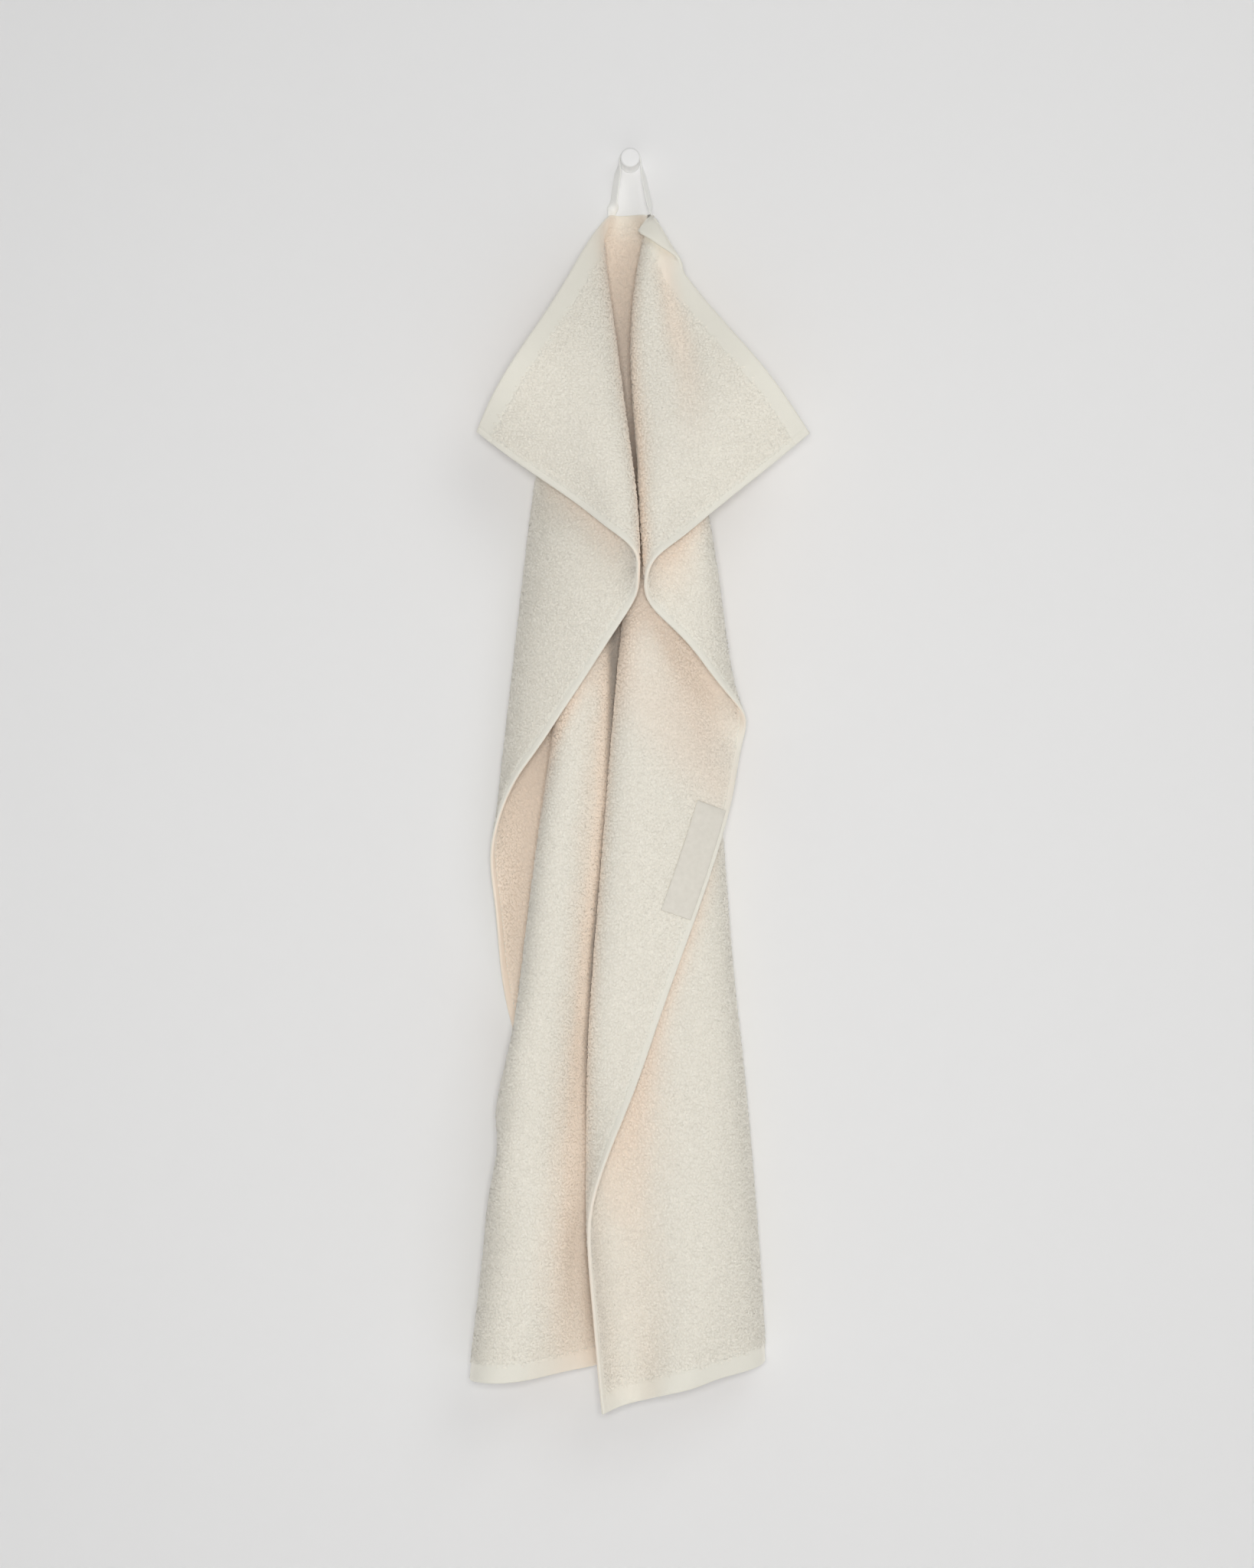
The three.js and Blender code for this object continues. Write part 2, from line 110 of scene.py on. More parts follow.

# The pile: low ridges for the tops of its loops, mostly along the cloth, with a soft rounded shading that
# turns towards the open. Its tips differ in tone at random; the root of each ridge is darker, as painted
# shade between the loops.
PILE_PITCH = 2.35
PILE_JITTER = 0.35
PILE_STEP = 1.0
PILE_LONG = 3.4
PILE_WIDE = 2.7
PILE_HEIGHT = 1.45
PILE_SIZES = (0.85, 1.15)
PILE_HEIGHTS = (0.75, 1.2)
PILE_ROOT = 0.4
PILE_LEAN = 0.22
PILE_TURN = 0.6
PILE_SOFT = 0.45
PILE_TO_OPEN = 2.0
PILE_TIP_TONES = (0.55, 1)
# The tone at the root of each ridge is lower: painted shade between the loops.
PILE_ROOT_PAINTED_SHADE = (0, 0.45)

# Where the pile thins out over the hems, and where the loop rolls the top hem back.
PILE_FADE_END = 6.0
PILE_FADE_SIDE = 3.0
PILE_FADE_INSIDE = 1.0
ROLLED_HEM = 8.0
ROLLED_LEFT = (-32, -20)
ROLLED_RIGHT = (16, 28)

# How a place on the cloth looks around itself: how far, in how many ways, from how far off the cloth, how
# much the way straight out counts, and how far the cloth turns to the wall until the wall closes no way.
LOOK_REACH = 70.0
LOOK_WAYS = 20
LOOK_FROM = 3.0
LOOK_STRAIGHT = 0.2
LOOK_TO_WALL = (0, 0.5)
GOLDEN_TURN = 2.399963

# The shares of ways that meet cloth where the painted fold shade starts and is full, and how much painted
# shade a millimetre of crease adds.
PAINTED_SHADE_FROM = 0.03
PAINTED_SHADE_FULL = 0.5
CREASE_SHADE = 0.05

# Colours of the cotton in the open, where it is mottled, and in the hems, and the painted warm shade deep in
# a fold.
TERRY_DARK = (0.905, 0.86, 0.755)
TERRY_LIGHT = (0.985, 0.95, 0.85)
TONE_SHARE = 0.75
GROUND_TONE = 0.3
HEM_COLOUR = (0.87, 0.85, 0.76)
HEM_SHARE = 0.85
PAINTED_FOLD_SHADE = (0.985, 0.86, 0.73)
SHEEN_TINT = (1.0, 0.96, 0.88)

# Colours of the other materials, the woven ones from dark to light.
THREAD_COLOURS = [(0.89, 0.86, 0.77), (0.94, 0.91, 0.83)]
TAPE_COLOURS = [(0.96, 0.955, 0.915), (0.985, 0.98, 0.945)]
LABEL_COLOURS = [(0.765, 0.73, 0.65), (0.815, 0.78, 0.70)]
PEG_COLOUR = (0.91, 0.91, 0.905)

# Stitches along the hems: short bars that dip into the cloth and taper at both ends.
STITCH_PITCH = 3.1
STITCH_LONG = 2.3
STITCH_RADIUS = 0.32
STITCH_SIDES = 4
STITCH_END = 1.0
STITCH_PLACES = np.array([-0.5, -0.25, 0.25, 0.5])
STITCH_LIFTS = np.array([-0.65, -0.3, -0.3, -0.65])
STITCH_TAPER = np.array([0.45, 1, 1, 0.45])

# The hanging loop: the grid columns where it is sewn on, and its tape, with the places across it and its
# share of thickness at each.
LOOP_LEFT = 18
LOOP_RIGHT = 22
TAPE_WIDE = 9.0
TAPE_THICK = 0.9
TAPE_PLACES = np.array([-0.5, -0.47, -0.36, -0.2, 0, 0.2, 0.36, 0.47, 0.5])
TAPE_SHARES = np.array([0.35, 0.8, 1, 0.86, 0.86, 0.86, 1, 0.8, 0.35])
TAPE_INSET_SHARE = 0.35
TAPE_SEWN_FROM = 0.5
TAPE_SEWN = 9.0
TAPE_PROBE = 2.0
TAPE_STEPS = 24
TAPE_TWIST = 0.3
TAPE_TURN_LEFT = 0.7
TAPE_TURN_RIGHT = 0.45
TAPE_GAP = 0.45

# The peg, as pairs of a radius and a distance from the wall, with a rounded front edge before its face.
PEG_WAIST_RADIUS = 7.2
PEG_WAIST_MIDDLE = 10.0
PEG_FOOT = [(7.95, 0.0), (8.0, 0.15), (8.0, 2.3), (7.9, 2.7), (7.4, 3.6)]
PEG_WAIST = [(PEG_WAIST_RADIUS, 4.2), (PEG_WAIST_RADIUS, 15.8)]
PEG_HEAD = [(7.3, 16.5), (7.5, 17.1), (7.6, 17.7), (7.6, 21.2)]
PEG_HEAD_RADIUS = 7.6
PEG_ROUND = 1.5
PEG_ROUND_FROM = 21.4
PEG_ROUND_STEPS = 9
PEG_FACE = [(4.0, 22.96)]
PEG_LONG = 23.0
PEG_SIDES = 96

# The label, sewn flat beside the right edge.
LABEL_LONG = 90.0
LABEL_WIDE = 25.0
LABEL_THICK = 0.7
LABEL_TOP = 414.0
LABEL_INSET = 3.5
LABEL_LIFT = 2.6
LABEL_OVERLAP = 1.0
LABEL_RIM = np.array([0, 0.4, 1.0])
LABEL_RIM_SHARE = 0.35
LABEL_INSIDE = 2.0
LABEL_COLS = 15
LABEL_ROWS = 46
LABEL_SUNK = 0.5
LABEL_SUNK_OVER = 3.0

# The stage, in metres: a pale wall that only shows from the room's side, and a pale floor.
WALL_GREY = (0.88, 0.88, 0.88)
WALL_ROUGHNESS = 0.9
WALL_BEHIND = 0.0008
WALL_HALF = 2.4
WALL_TOP = 1.6
FLOOR_LEVEL = -1.32
FLOOR_DEEP = 3.6

# The light: soft square lamps turned to the middle of the towel, and an even pale surround.
LAMPS = [
    {"name": "key", "place": (1.0, -2.2, 1.1), "size": 1.5, "watts": 11, "colour": (1.0, 0.99, 0.97)},
    {"name": "front", "place": (0.0, -2.6, -0.45), "size": 0.35, "watts": 25, "colour": (1.0, 0.99, 0.98)},
    {"name": "behind", "place": (0.3, 1.8, 0.2), "size": 1.8, "watts": 8, "colour": (1.0, 1.0, 1.0)},
]
LIT_MIDDLE = (0.0, 0.0, -0.5)
SURROUND_COLOUR = (0.98, 0.99, 1.0)
SURROUND_STRENGTH = 0.28
DIFFUSE_BOUNCES = 20
OTHER_BOUNCES = 4

# The camera: straight at the wall, from where the photograph was taken.
CAMERA_AWAY = 2.5
CAMERA_SIDE = -0.00243
CAMERA_LEVEL = -0.4927
FRAME_TALL = 1.2442
SENSOR = 36.0

# How the cloth hangs: places across the cloth, and for each its x, its distance from the wall and its depth
# below the peg, in sections that lie `down` millimetres of cloth below the top hem.
SECTIONS = [
    {
        "down": 0,
        "along": [-250, -200, -150, -100, -50, -25, 0, 25, 50, 100, 150, 200, 250],
        "across": [-117, -99, -78, -55, -29, -16, 7, 14, 22, 50, 81, 109, 137],
        "out": [66, 80, 84, 70, 34, 11, 8, 33, 39, 57, 78, 82, 68],
        "drop": [217, 183, 147, 106, 62, 41, 43, 46, 68, 111, 147, 181, 222],
    },
    {
        "down": 45,
        "along": [-250, -200, -150, -92, -50, -25, 0, 20, 45, 70, 110, 150, 200, 250],
        "across": [-84, -60, -32, -2, -20, -16, -2, 4, -3, -9, 28, 57, 81, 103],
        "out": [74, 86, 82, 48, 20, 11, 9, 15, 36, 55, 48, 74, 84, 76],
        "drop": [246, 208, 168, 130, 98, 88, 85, 88, 101, 126, 148, 180, 216, 250],
    },
    {
        "down": 90,
        "along": [-250, -200, -145, -105, -72, -45, -20, 0, 30, 70, 128, 160, 200, 250],
        "across": [-51, -24, 5, -22, -38, -30, -14, 2, 22, 28, -6, 18, 42, 69],
        "out": [84, 92, 64, 46, 24, 14, 9, 8, 10, 34, 66, 84, 92, 86],
        "drop": [269, 236, 200, 168, 148, 138, 132, 130, 134, 156, 208, 226, 246, 276],
    },
    {
        "down": 135,
        "along": [-250, -215, -170, -128, -95, -68, -40, -18, 0, 30, 62, 100, 135, 172, 210, 250],
        "across": [-13, 6, -14, -38, -46, -36, -26, -12, 0, 20, 33, 34, 34, 14, 3, 34],
        "out": [92, 82, 70, 48, 24, 12, 20, 12, 8, 11, 20, 38, 56, 72, 84, 93],
        "drop": [294, 272, 252, 228, 206, 194, 184, 178, 176, 181, 194, 214, 234, 261, 280, 301],
    },
    {
        "down": 180,
        "along": [-250, -200, -155, -118, -88, -56, -26, 0, 32, 62, 94, 126, 160, 205, 250],
        "across": [8, -18, -46, -62, -52, -34, -17, 2, 24, 36, 30, 39, 48, 33, 13],
        "out": [93, 80, 62, 36, 12, 28, 13, 8, 10, 20, 40, 50, 62, 82, 93],
        "drop": [330, 296, 268, 250, 238, 230, 223, 220, 223, 230, 240, 252, 272, 299, 331],
    },
    {
        "down": 270,
        "along": [-250, -200, -160, -124, -84, -48, 0, 44, 84, 126, 164, 208, 250],
        "across": [-28, -63, -82, -64, -38, -20, 6, 44, 26, 4, 34, 68, 50],
        "out": [76, 62, 34, 10, 30, 12, 9, 14, 28, 46, 56, 52, 76],
        "drop": [406, 376, 354, 338, 326, 317, 310, 316, 326, 338, 354, 378, 403],
    },
    {
        "down": 315,
        "along": [-250, -220, -192, -165, -142, -115, -90, -64, -44, 0, 46, 88, 128, 160, 192, 226, 250],
        "across": [-53, -78, -92, -84, -66, -52, -36, -20, -10, 14, 50, 24, -10, 21, 51, 79, 75],
        "out": [65, 54, 36, 14, 9, 26, 38, 26, 11, 9, 15, 31, 50, 58, 52, 44, 54],
        "drop": [438, 424, 412, 402, 393, 384, 377, 370, 365, 355, 362, 372, 384, 397, 411, 425, 433],
    },
    {
        "down": 360,
        "along": [-250, -225, -200, -165, -136, -100, -75, -48, 0, 50, 90, 130, 165, 205, 250],
        "across": [-76, -95, -88, -60, -57, -36, -20, -8, 22, 56, 22, -21, 14, 54, 92],
        "out": [52, 36, 14, 9, 34, 46, 36, 12, 9, 18, 34, 54, 62, 52, 32],
        "drop": [471, 458, 446, 436, 430, 420, 413, 407, 400, 408, 418, 430, 441, 454, 468],
    },
    {
        "down": 450,
        "along": [-250, -215, -185, -150, -110, -80, -55, 0, 45, 100, 150, 200, 250],
        "across": [-106, -76, -56, -74, -46, -22, -12, 36, 70, 24, -22, 26, 69],
        "out": [38, 14, 10, 40, 58, 38, 12, 9, 24, 42, 54, 67, 56],
        "drop": [555, 537, 528, 518, 506, 500, 496, 490, 496, 506, 516, 532, 550],
    },
    {
        "down": 525,
        "along": [-250, -220, -192, -164, -130, -104, -78, -62, -40,
                  -16, 8, 30, 52, 100, 140, 174, 212, 250],
        "across": [-101, -80, -66, -84, -62, -42, -24, -15, 0, 17, 33, 49, 63, 33, 1, -27, 8, 43],
        "out": [24, 11, 14, 46, 64, 60, 37, 13, 9, 26, 9, 26, 28, 46, 49, 58, 70, 64],
        "drop": [628, 615, 606, 596, 586, 579, 573, 570, 567, 565, 565, 567, 571, 579, 587, 595, 606, 618],
    },
    {
        "down": 600,
        "along": [-250, -225, -200, -178, -150, -125, -100, -72, -46, -20, 6, 30, 56, 100, 150, 200, 250],
        "across": [-92, -74, -77, -87, -75, -54, -34, -20, -2, 16, 33, 49, 67, 47, 7, -28, 18],
        "out": [14, 11, 26, 46, 66, 68, 48, 14, 9, 28, 9, 28, 31, 50, 56, 58, 66],
        "drop": [702, 691, 682, 674, 664, 658, 652, 648, 645, 642, 641, 643, 647, 653, 661, 672, 687],
    },
    {
        "down": 675,
        "along": [-250, -226, -202, -184, -162, -138, -110, -80, -52,
                  -24, 4, 30, 60, 100, 150, 195, 218, 250],
        "across": [-86, -77, -86, -94, -88, -69, -44, -22, -5, 16, 37, 56, 77, 62, 22, -17, -30, -8],
        "out": [8, 22, 42, 55, 72, 75, 58, 16, 9, 29, 9, 28, 31, 51, 60, 56, 60, 80],
        "drop": [772, 764, 756, 751, 744, 737, 729, 724, 720, 717, 716, 717, 720, 726, 734, 744, 750, 757],
    },
    {
        "down": 720,
        "along": [-250, -226, -202, -180, -155, -130, -104, -75, -40, 0, 38, 70, 100, 150, 200, 228, 250],
        "across": [-88, -87, -95, -94, -81, -62, -39, -22, 7, 38, 64, 85, 69, 30, -12, -29, -21],
        "out": [8, 26, 47, 66, 80, 77, 54, 16, 9, 28, 9, 29, 52, 63, 62, 66, 80],
        "drop": [810, 802, 795, 790, 784, 778, 772, 768, 763, 760, 762, 766, 770, 778, 787, 793, 797],
    },
    {
        "down": 750,
        "along": [-250, -225, -202, -175, -150, -125, -100, -72, -38, 0, 38, 72, 104, 150, 200, 230, 250],
        "across": [-89, -95, -103, -97, -79, -57, -37, -22, 7, 37, 67, 89, 75, 38, -6, -25, -28],
        "out": [9, 24, 47, 68, 82, 76, 52, 16, 9, 31, 9, 29, 53, 66, 66, 70, 80],
        "drop": [839, 832, 826, 820, 814, 808, 803, 798, 794, 790, 792, 796, 801, 808, 817, 822, 827],
    },
    {
        "down": 900,
        "along": [-250, -222, -198, -170, -145, -120, -95, -68, -34, 4, 44, 80, 110, 155, 205, 250],
        "across": [-94, -116, -125, -114, -93, -68, -46, -26, 4, 38, 74, 101, 88, 50, 12, -14],
        "out": [10, 22, 46, 66, 76, 70, 52, 18, 9, 36, 9, 30, 52, 66, 70, 70],
        "drop": [963, 958, 954, 951, 948, 945, 942, 939, 937, 938, 940, 945, 950, 958, 968, 980],
    },
]

# How the first shape is settled, as in the solid, and then settled again on a grid twice as fine.
SETTLE_ROUNDS = 420
FREE_ROUNDS = 160
FINE_ROUNDS = 90
SHEAR_HOLD = 0.12
FOLD_ROUND = 0.032
LAYER_GAP = 10.5
FINE_LAYER_GAP = 7.0
SAME_LAYER_CELLS = 3
LAYER_PUSH = 0.3
LAYER_EVERY = 3
WEAVE_PASSES = 2
WALL_GAP = 4.5
EDGE_HOLD = 0.12
EDGE_HOLD_OUT = 0.03
BODY_HOLD = 0.016
FREE_STRENGTH = 0.25
FINE_HOLD = 0.02
LEFT_EDGE_FREE_FROM = 610


def curve(places, values, at):
    """A smooth curve through a table's values, read at each place in `at`."""
    places = np.asarray(places, float)
    values = np.asarray(values, float)
    last = len(places) - 1
    before = np.clip(np.arange(last + 1) - 1, 0, last)
    after = np.clip(np.arange(last + 1) + 1, 0, last)
    slope = (values[after] - values[before]) / (places[after] - places[before])
    k = np.clip(np.searchsorted(places, at, side="left") - 1, 0, last - 1)
    step = places[k + 1] - places[k]
    t = (at - places[k]) / step
    t2, t3 = t**2, t**3
    start = (2 * t3 - 3 * t2 + 1) * values[k] + (t3 - 2 * t2 + t) * step * slope[k]
    return start + (3 * t2 - 2 * t3) * values[k + 1] + (t3 - t2) * step * slope[k + 1]


def first_shape():
    """The table read at every column of the grid, then every column read at each row."""
    across = np.arange(COLS + 1) * CELL - TOWEL_WIDE / 2
    down = np.arange(ROWS + 1) * CELL
    downs = [s["down"] for s in SECTIONS]
    shape = np.zeros((ROWS + 1, COLS + 1, 3))
    for axis, (column, sign) in enumerate((("across", 1), ("out", -1), ("drop", -1))):
        read = np.array([curve(s["along"], s[column], across) for s in SECTIONS])
        for col in range(COLS + 1):
            shape[:, col, axis] = sign * curve(downs, read[:, col], down)
    return shape


def keep_length(a, b, length, share):
    """Moves pairs of points so that they come nearer to their distance in the flat cloth."""
    way = b - a
    far = np.maximum(np.linalg.norm(way, axis=-1, keepdims=True), TINY)
    move = way * (0.5 * share * (far - length) / far)
    a += move
    b -= move


def keep_weave(p, cell):
    """Every other thread across, then down, then the slants that resist shear."""
    for odd in (0, 1):
        keep_length(p[:, odd:-1:2], p[:, odd + 1 :: 2], cell, 1)
    for odd in (0, 1):
        keep_length(p[odd:-1:2], p[odd + 1 :: 2], cell, 1)
    slant = cell * math.sqrt(2)
    for odd in (0, 1):
        keep_length(p[odd:-1:2, :-1], p[odd + 1 :: 2, 1:], slant, SHEAR_HOLD)
        keep_length(p[odd:-1:2, 1:], p[odd + 1 :: 2, :-1], slant, SHEAR_HOLD)


def round_folds(p):
    """Takes a little of the bend out of each three points in a row."""
    across = FOLD_ROUND * (p[:, :-2] - 2 * p[:, 1:-1] + p[:, 2:])
    down = FOLD_ROUND * (p[:-2] - 2 * p[1:-1] + p[2:])
    p[:, :-2] -= across
    p[:, 1:-1] += 2 * across
    p[:, 2:] -= across
    p[:-2] -= down
    p[1:-1] += 2 * down
    p[2:] -= down


def keep_layers_apart(p, gap, same_layer):
    """Pushes apart points of different layers that have come too near."""
    rows, cols = p.shape[:2]
    flat = p.reshape(-1, 3)
    order = np.argsort(flat[:, 2], kind="stable")
    sorted_points = flat[order]
    row, col = np.divmod(order, cols)
    push = np.zeros_like(flat)
    for k in range(1, len(order)):
        way = sorted_points[k:] - sorted_points[:-k]
        near = np.nonzero(way[:, 2] < gap)[0]
        if not len(near):
            break
        near = near[np.abs(way[near, 0]) < gap]
        other_row = np.abs(row[near + k] - row[near]) >= same_layer
        other_col = np.abs(col[near + k] - col[near]) >= same_layer
        near = near[other_row | other_col]
        far = np.maximum(np.linalg.norm(way[near], axis=1, keepdims=True), TINY)
        move = LAYER_PUSH * np.maximum(gap - far, 0) / far * way[near]
        push[order[near + k]] += move
        push[order[near]] -= move
    p += push.reshape(rows, cols, 3)


def hold_places(p, first, strength):
    """Draws the edges, and the rest more weakly, back to where the first shape has them."""
    edge = np.zeros(p.shape[:2], bool)
    edge[[0, -1]] = True
    edge[:, -1] = True
    edge[np.arange(ROWS + 1) * CELL < LEFT_EDGE_FREE_FROM, 0] = True
    hold = np.zeros(p.shape)
    hold[..., 0] = np.where(edge, EDGE_HOLD, BODY_HOLD)
    hold[..., 1] = np.where(edge, EDGE_HOLD_OUT, BODY_HOLD)
    hold[..., 2] = np.where(edge, EDGE_HOLD, 0)
    p += strength * hold * (first - p)
    np.minimum(p[..., 1], -WALL_GAP, out=p[..., 1])


def restore_weave(p, first, cell, pins):
    """Keeps the weave, and the loop's two ends in their places."""
    for _ in range(WEAVE_PASSES):
        keep_weave(p, cell)
        p[0, pins] = first[0, pins]


def hang_cloth():
    """The hung cloth on the solid's own grid, as the points of its middle surface."""
    first = first_shape()
    pins = [LOOP_LEFT, LOOP_RIGHT]
    p = first.copy()
    for turn in range(SETTLE_ROUNDS + FREE_ROUNDS):
        round_folds(p)
        if turn % LAYER_EVERY == 0:
            keep_layers_apart(p, LAYER_GAP, SAME_LAYER_CELLS)
        hold_places(p, first, 1 if turn < SETTLE_ROUNDS else FREE_STRENGTH)
        restore_weave(p, first, CELL, pins)
    return p


def spline_weights(count, at):
    """Weights of a cubic B-spline with straight ends over `count` points, at places in cells."""
    base = np.clip(np.floor(at).astype(int), 0, count - 2)
    t = at - base
    parts = [(1 - t) ** 3, 3 * t**3 - 6 * t**2 + 4, -3 * t**3 + 3 * t**2 + 3 * t + 1, t**3]
    weights = np.zeros((len(at), count + 2))
    for shift, part in enumerate(parts):
        weights[np.arange(len(at)), base + shift] += part / 6
    weights[:, 1] += 2 * weights[:, 0]
    weights[:, 2] -= weights[:, 0]
    weights[:, -2] += 2 * weights[:, -1]
    weights[:, -3] -= weights[:, -1]
    return weights[:, 1:-1]


def read_surface(p, rows, cols):
    """The smooth surface over a grid of points, read where each row and column place meets."""
    by_row = np.einsum("ij,jkc->ikc", spline_weights(p.shape[0], rows), p)
    return np.einsum("ij,kjc->kic", spline_weights(p.shape[1], cols), by_row)


def refine_cloth(coarse):
    """The same cloth on a grid twice as fine, settled a little more, so that its folds run smoothly."""
    first = read_surface(coarse, np.arange(2 * ROWS + 1) / 2, np.arange(2 * COLS + 1) / 2)
    pins = [2 * LOOP_LEFT, 2 * LOOP_RIGHT]
    p = first.copy()
    for turn in range(FINE_ROUNDS):
        round_folds(p)
        if turn % LAYER_EVERY == 0:
            keep_layers_apart(p, FINE_LAYER_GAP, 2 * SAME_LAYER_CELLS)
        p += FINE_HOLD * (first - p)
        np.minimum(p[..., 1], -WALL_GAP, out=p[..., 1])
        restore_weave(p, first, CELL / 2, pins)
    return p


def unit(ways):
    return ways / np.linalg.norm(ways, axis=-1, keepdims=True)


def smooth_step(low, high, value):
    t = np.clip((value - low) / (high - low), 0, 1)
    return t * t * (3 - 2 * t)


def lip_share(along):
    """How much of the lip's full length the hem turns over at each place across the cloth."""
    start, full, end = LIP_ALONG
    return smooth_step(start, full, along) * np.clip((end - along) / (end - full), 0, 1)


def stroke_depth(stroke, shape, cell):
    """A stroke's depth at each point of the cloth: the full depth on its line, fading to both sides."""
    rows, cols = shape
    down = (np.arange(rows) * cell)[:, None]
    along = (np.arange(cols) * cell - TOWEL_WIDE / 2)[None, :]
    depth = np.zeros(shape)
    for (x0, y0, deep0, wide0), (x1, y1, deep1, wide1) in zip(stroke[:-1], stroke[1:]):
        long = math.hypot(x1 - x0, y1 - y0)
        t = np.clip(((along - x0) * (x1 - x0) + (down - y0) * (y1 - y0)) / long**2, 0, 1)
        far = np.hypot(along - x0 - t * (x1 - x0), down - y0 - t * (y1 - y0))
        deep = deep0 + t * (deep1 - deep0)
        wide = wide0 + t * (wide1 - wide0)
        depth = np.maximum(depth, deep * np.exp(-((far / wide) ** 2)))
    return depth


def draw_strokes(points, cell):
    """Presses the crease into the side that faces the room, and lifts the flank towards the room."""
    facing = unit(np.cross(np.gradient(points, axis=0), np.gradient(points, axis=1)))
    points -= facing * stroke_depth(CREASE, points.shape[:2], cell)[..., None]
    points[..., 1] -= stroke_depth(FILL, points.shape[:2], cell)


def grid_quads(n):
    """Quads between neighbours in a grid of point numbers."""
    return np.stack([n[:-1, :-1], n[1:, :-1], n[1:, 1:], n[:-1, 1:]], -1).reshape(-1, 4)


class Cloth:
    """The hung cloth, read at any place: `along` from the left edge to the right, `down` from the top hem."""

    cell = CELL / 2

    def __init__(self):
        self.points = refine_cloth(hang_cloth())
        draw_strokes(self.points, self.cell)
        self.shade = {}
        self.open_way = {}
        for side in (1, -1):
            self.shade[side], self.open_way[side] = self.look_around(side)
        shape = self.points.shape[:2]
        # The crease adds to the painted fold shade.
        self.shade[1] += CREASE_SHADE * stroke_depth(CREASE, shape, self.cell)[..., None]
        # Painted warm shade below the right edge, where that edge shades the cloth.
        self.shade[1] += stroke_depth(PAINTED_WARM_SHADE, shape, self.cell)[..., None]
        self.alongs = np.linspace(-TOWEL_WIDE / 2, TOWEL_WIDE / 2, round(TOWEL_WIDE / SAMPLE_PITCH) + 1)
        self.downs = np.linspace(0, TOWEL_LONG, round(TOWEL_LONG / SAMPLE_PITCH) + 1)
        self.sampled = self.grid_with_facing(self.alongs, self.downs)

    def look_around(self, side):
        """The share of ways out from each place that soon meet cloth, which becomes painted fold shade, and
        the middle of the open ways.
        """
        rows, cols = self.points.shape[:2]
        quads = grid_quads(np.arange(rows * cols).reshape(rows, cols))
        tree = BVHTree.FromPolygons(self.points.reshape(-1, 3).tolist(), quads.tolist())
        across = np.gradient(self.points, axis=1)
        facing = side * unit(np.cross(np.gradient(self.points, axis=0), across))
        across = unit(across)
        other = np.cross(facing, across)
        found = np.zeros((rows, cols, 1))
        opened = LOOK_STRAIGHT * facing
        start = self.points + facing * LOOK_FROM
        off_wall = 1 - smooth_step(*LOOK_TO_WALL, facing[..., 1:2])
        for way in range(LOOK_WAYS):
            turn = GOLDEN_TURN * way
            lean = math.sqrt((way + 0.5) / LOOK_WAYS)
            out = math.sqrt(1 - lean * lean)
            ways = out * facing + lean * (math.cos(turn) * across + math.sin(turn) * other)
            met = np.zeros((rows, cols, 1))
            for row in range(rows):
                for col in range(cols):
                    hit = tree.ray_cast(start[row, col], ways[row, col], LOOK_REACH)
                    met[row, col] = hit[0] is not None
            found += met
            at_wall = ways[..., 1:2] * LOOK_REACH > -start[..., 1:2]
            opened += (1 - met) * (1 - at_wall * off_wall) * ways
        return found / LOOK_WAYS, unit(opened)

    def read(self, of, along, down):
        """Values kept at the points of the cloth, read where places across and places down meet."""
        rows = np.asarray(down, float) / self.cell
        cols = (np.asarray(along, float) + TOWEL_WIDE / 2) / self.cell
        return read_surface(of, rows, cols)

    def grid(self, along, down):
        """Points of the cloth where places across and places down meet, with the lip turned over."""
        places = self.read(self.points, along, down)
        for col in np.nonzero(lip_share(along) > 0)[0]:
            places[:, col] = self.turned_over(along[col], down)
        return places

    def turned_over(self, along, down):
        """One line down the cloth where the top hem reaches past its edge and turns over to the front."""
        reach = LIP_LONG * lip_share(along)
        path = (END_HEM - down) * (1 + reach / END_HEM)
        line = np.where(down < END_HEM, END_HEM - np.minimum(path, END_HEM), down)
        places = self.read(self.points, [along], line)[:, 0]
        away = -unit(np.array(LIP_WAY))
        over = np.clip(path - END_HEM, 0, None)[:, None]
        turn = np.minimum(over / LIP_ROUND, LIP_TURN)
        rest = over - LIP_ROUND * turn
        roll = LIP_ROUND * (np.sin(turn) * away + (1 - np.cos(turn)) * TO_ROOM)
        return places + roll + rest * (np.cos(turn) * away + np.sin(turn) * TO_ROOM)

    def grid_with_facing(self, along, down):
        """As grid, with unit directions to the side that faces the room when the cloth is held flat."""
        across = self.grid(along + FACING_STEP, down) - self.grid(along - FACING_STEP, down)
        downward = self.grid(along, down + FACING_STEP) - self.grid(along, down - FACING_STEP)
        return self.grid(along, down), unit(np.cross(downward, across))

    def blend(self, of, along, down):
        """Values of a close grid of samples, blended at pairs of places."""
        x = (along - self.alongs[0]) / SAMPLE_PITCH
        y = (down - self.downs[0]) / SAMPLE_PITCH
        col = np.clip(x.astype(int), 0, len(self.alongs) - 2)
        row = np.clip(y.astype(int), 0, len(self.downs) - 2)
        fx = (x - col)[:, None]
        fy = (y - row)[:, None]
        top = of[row, col] * (1 - fx) + of[row, col + 1] * fx
        low = of[row + 1, col] * (1 - fx) + of[row + 1, col + 1] * fx
        return top * (1 - fy) + low * fy

    def scattered(self, along, down):
        """As grid_with_facing, at pairs of places."""
        places, facing = self.sampled
        return self.blend(places, along, down), unit(self.blend(facing, along, down))

    def blend_kept(self, of, along, down):
        """Values kept at the points of the cloth, read at pairs of places."""
        return self.blend(self.read(of, self.alongs, self.downs), along, down)


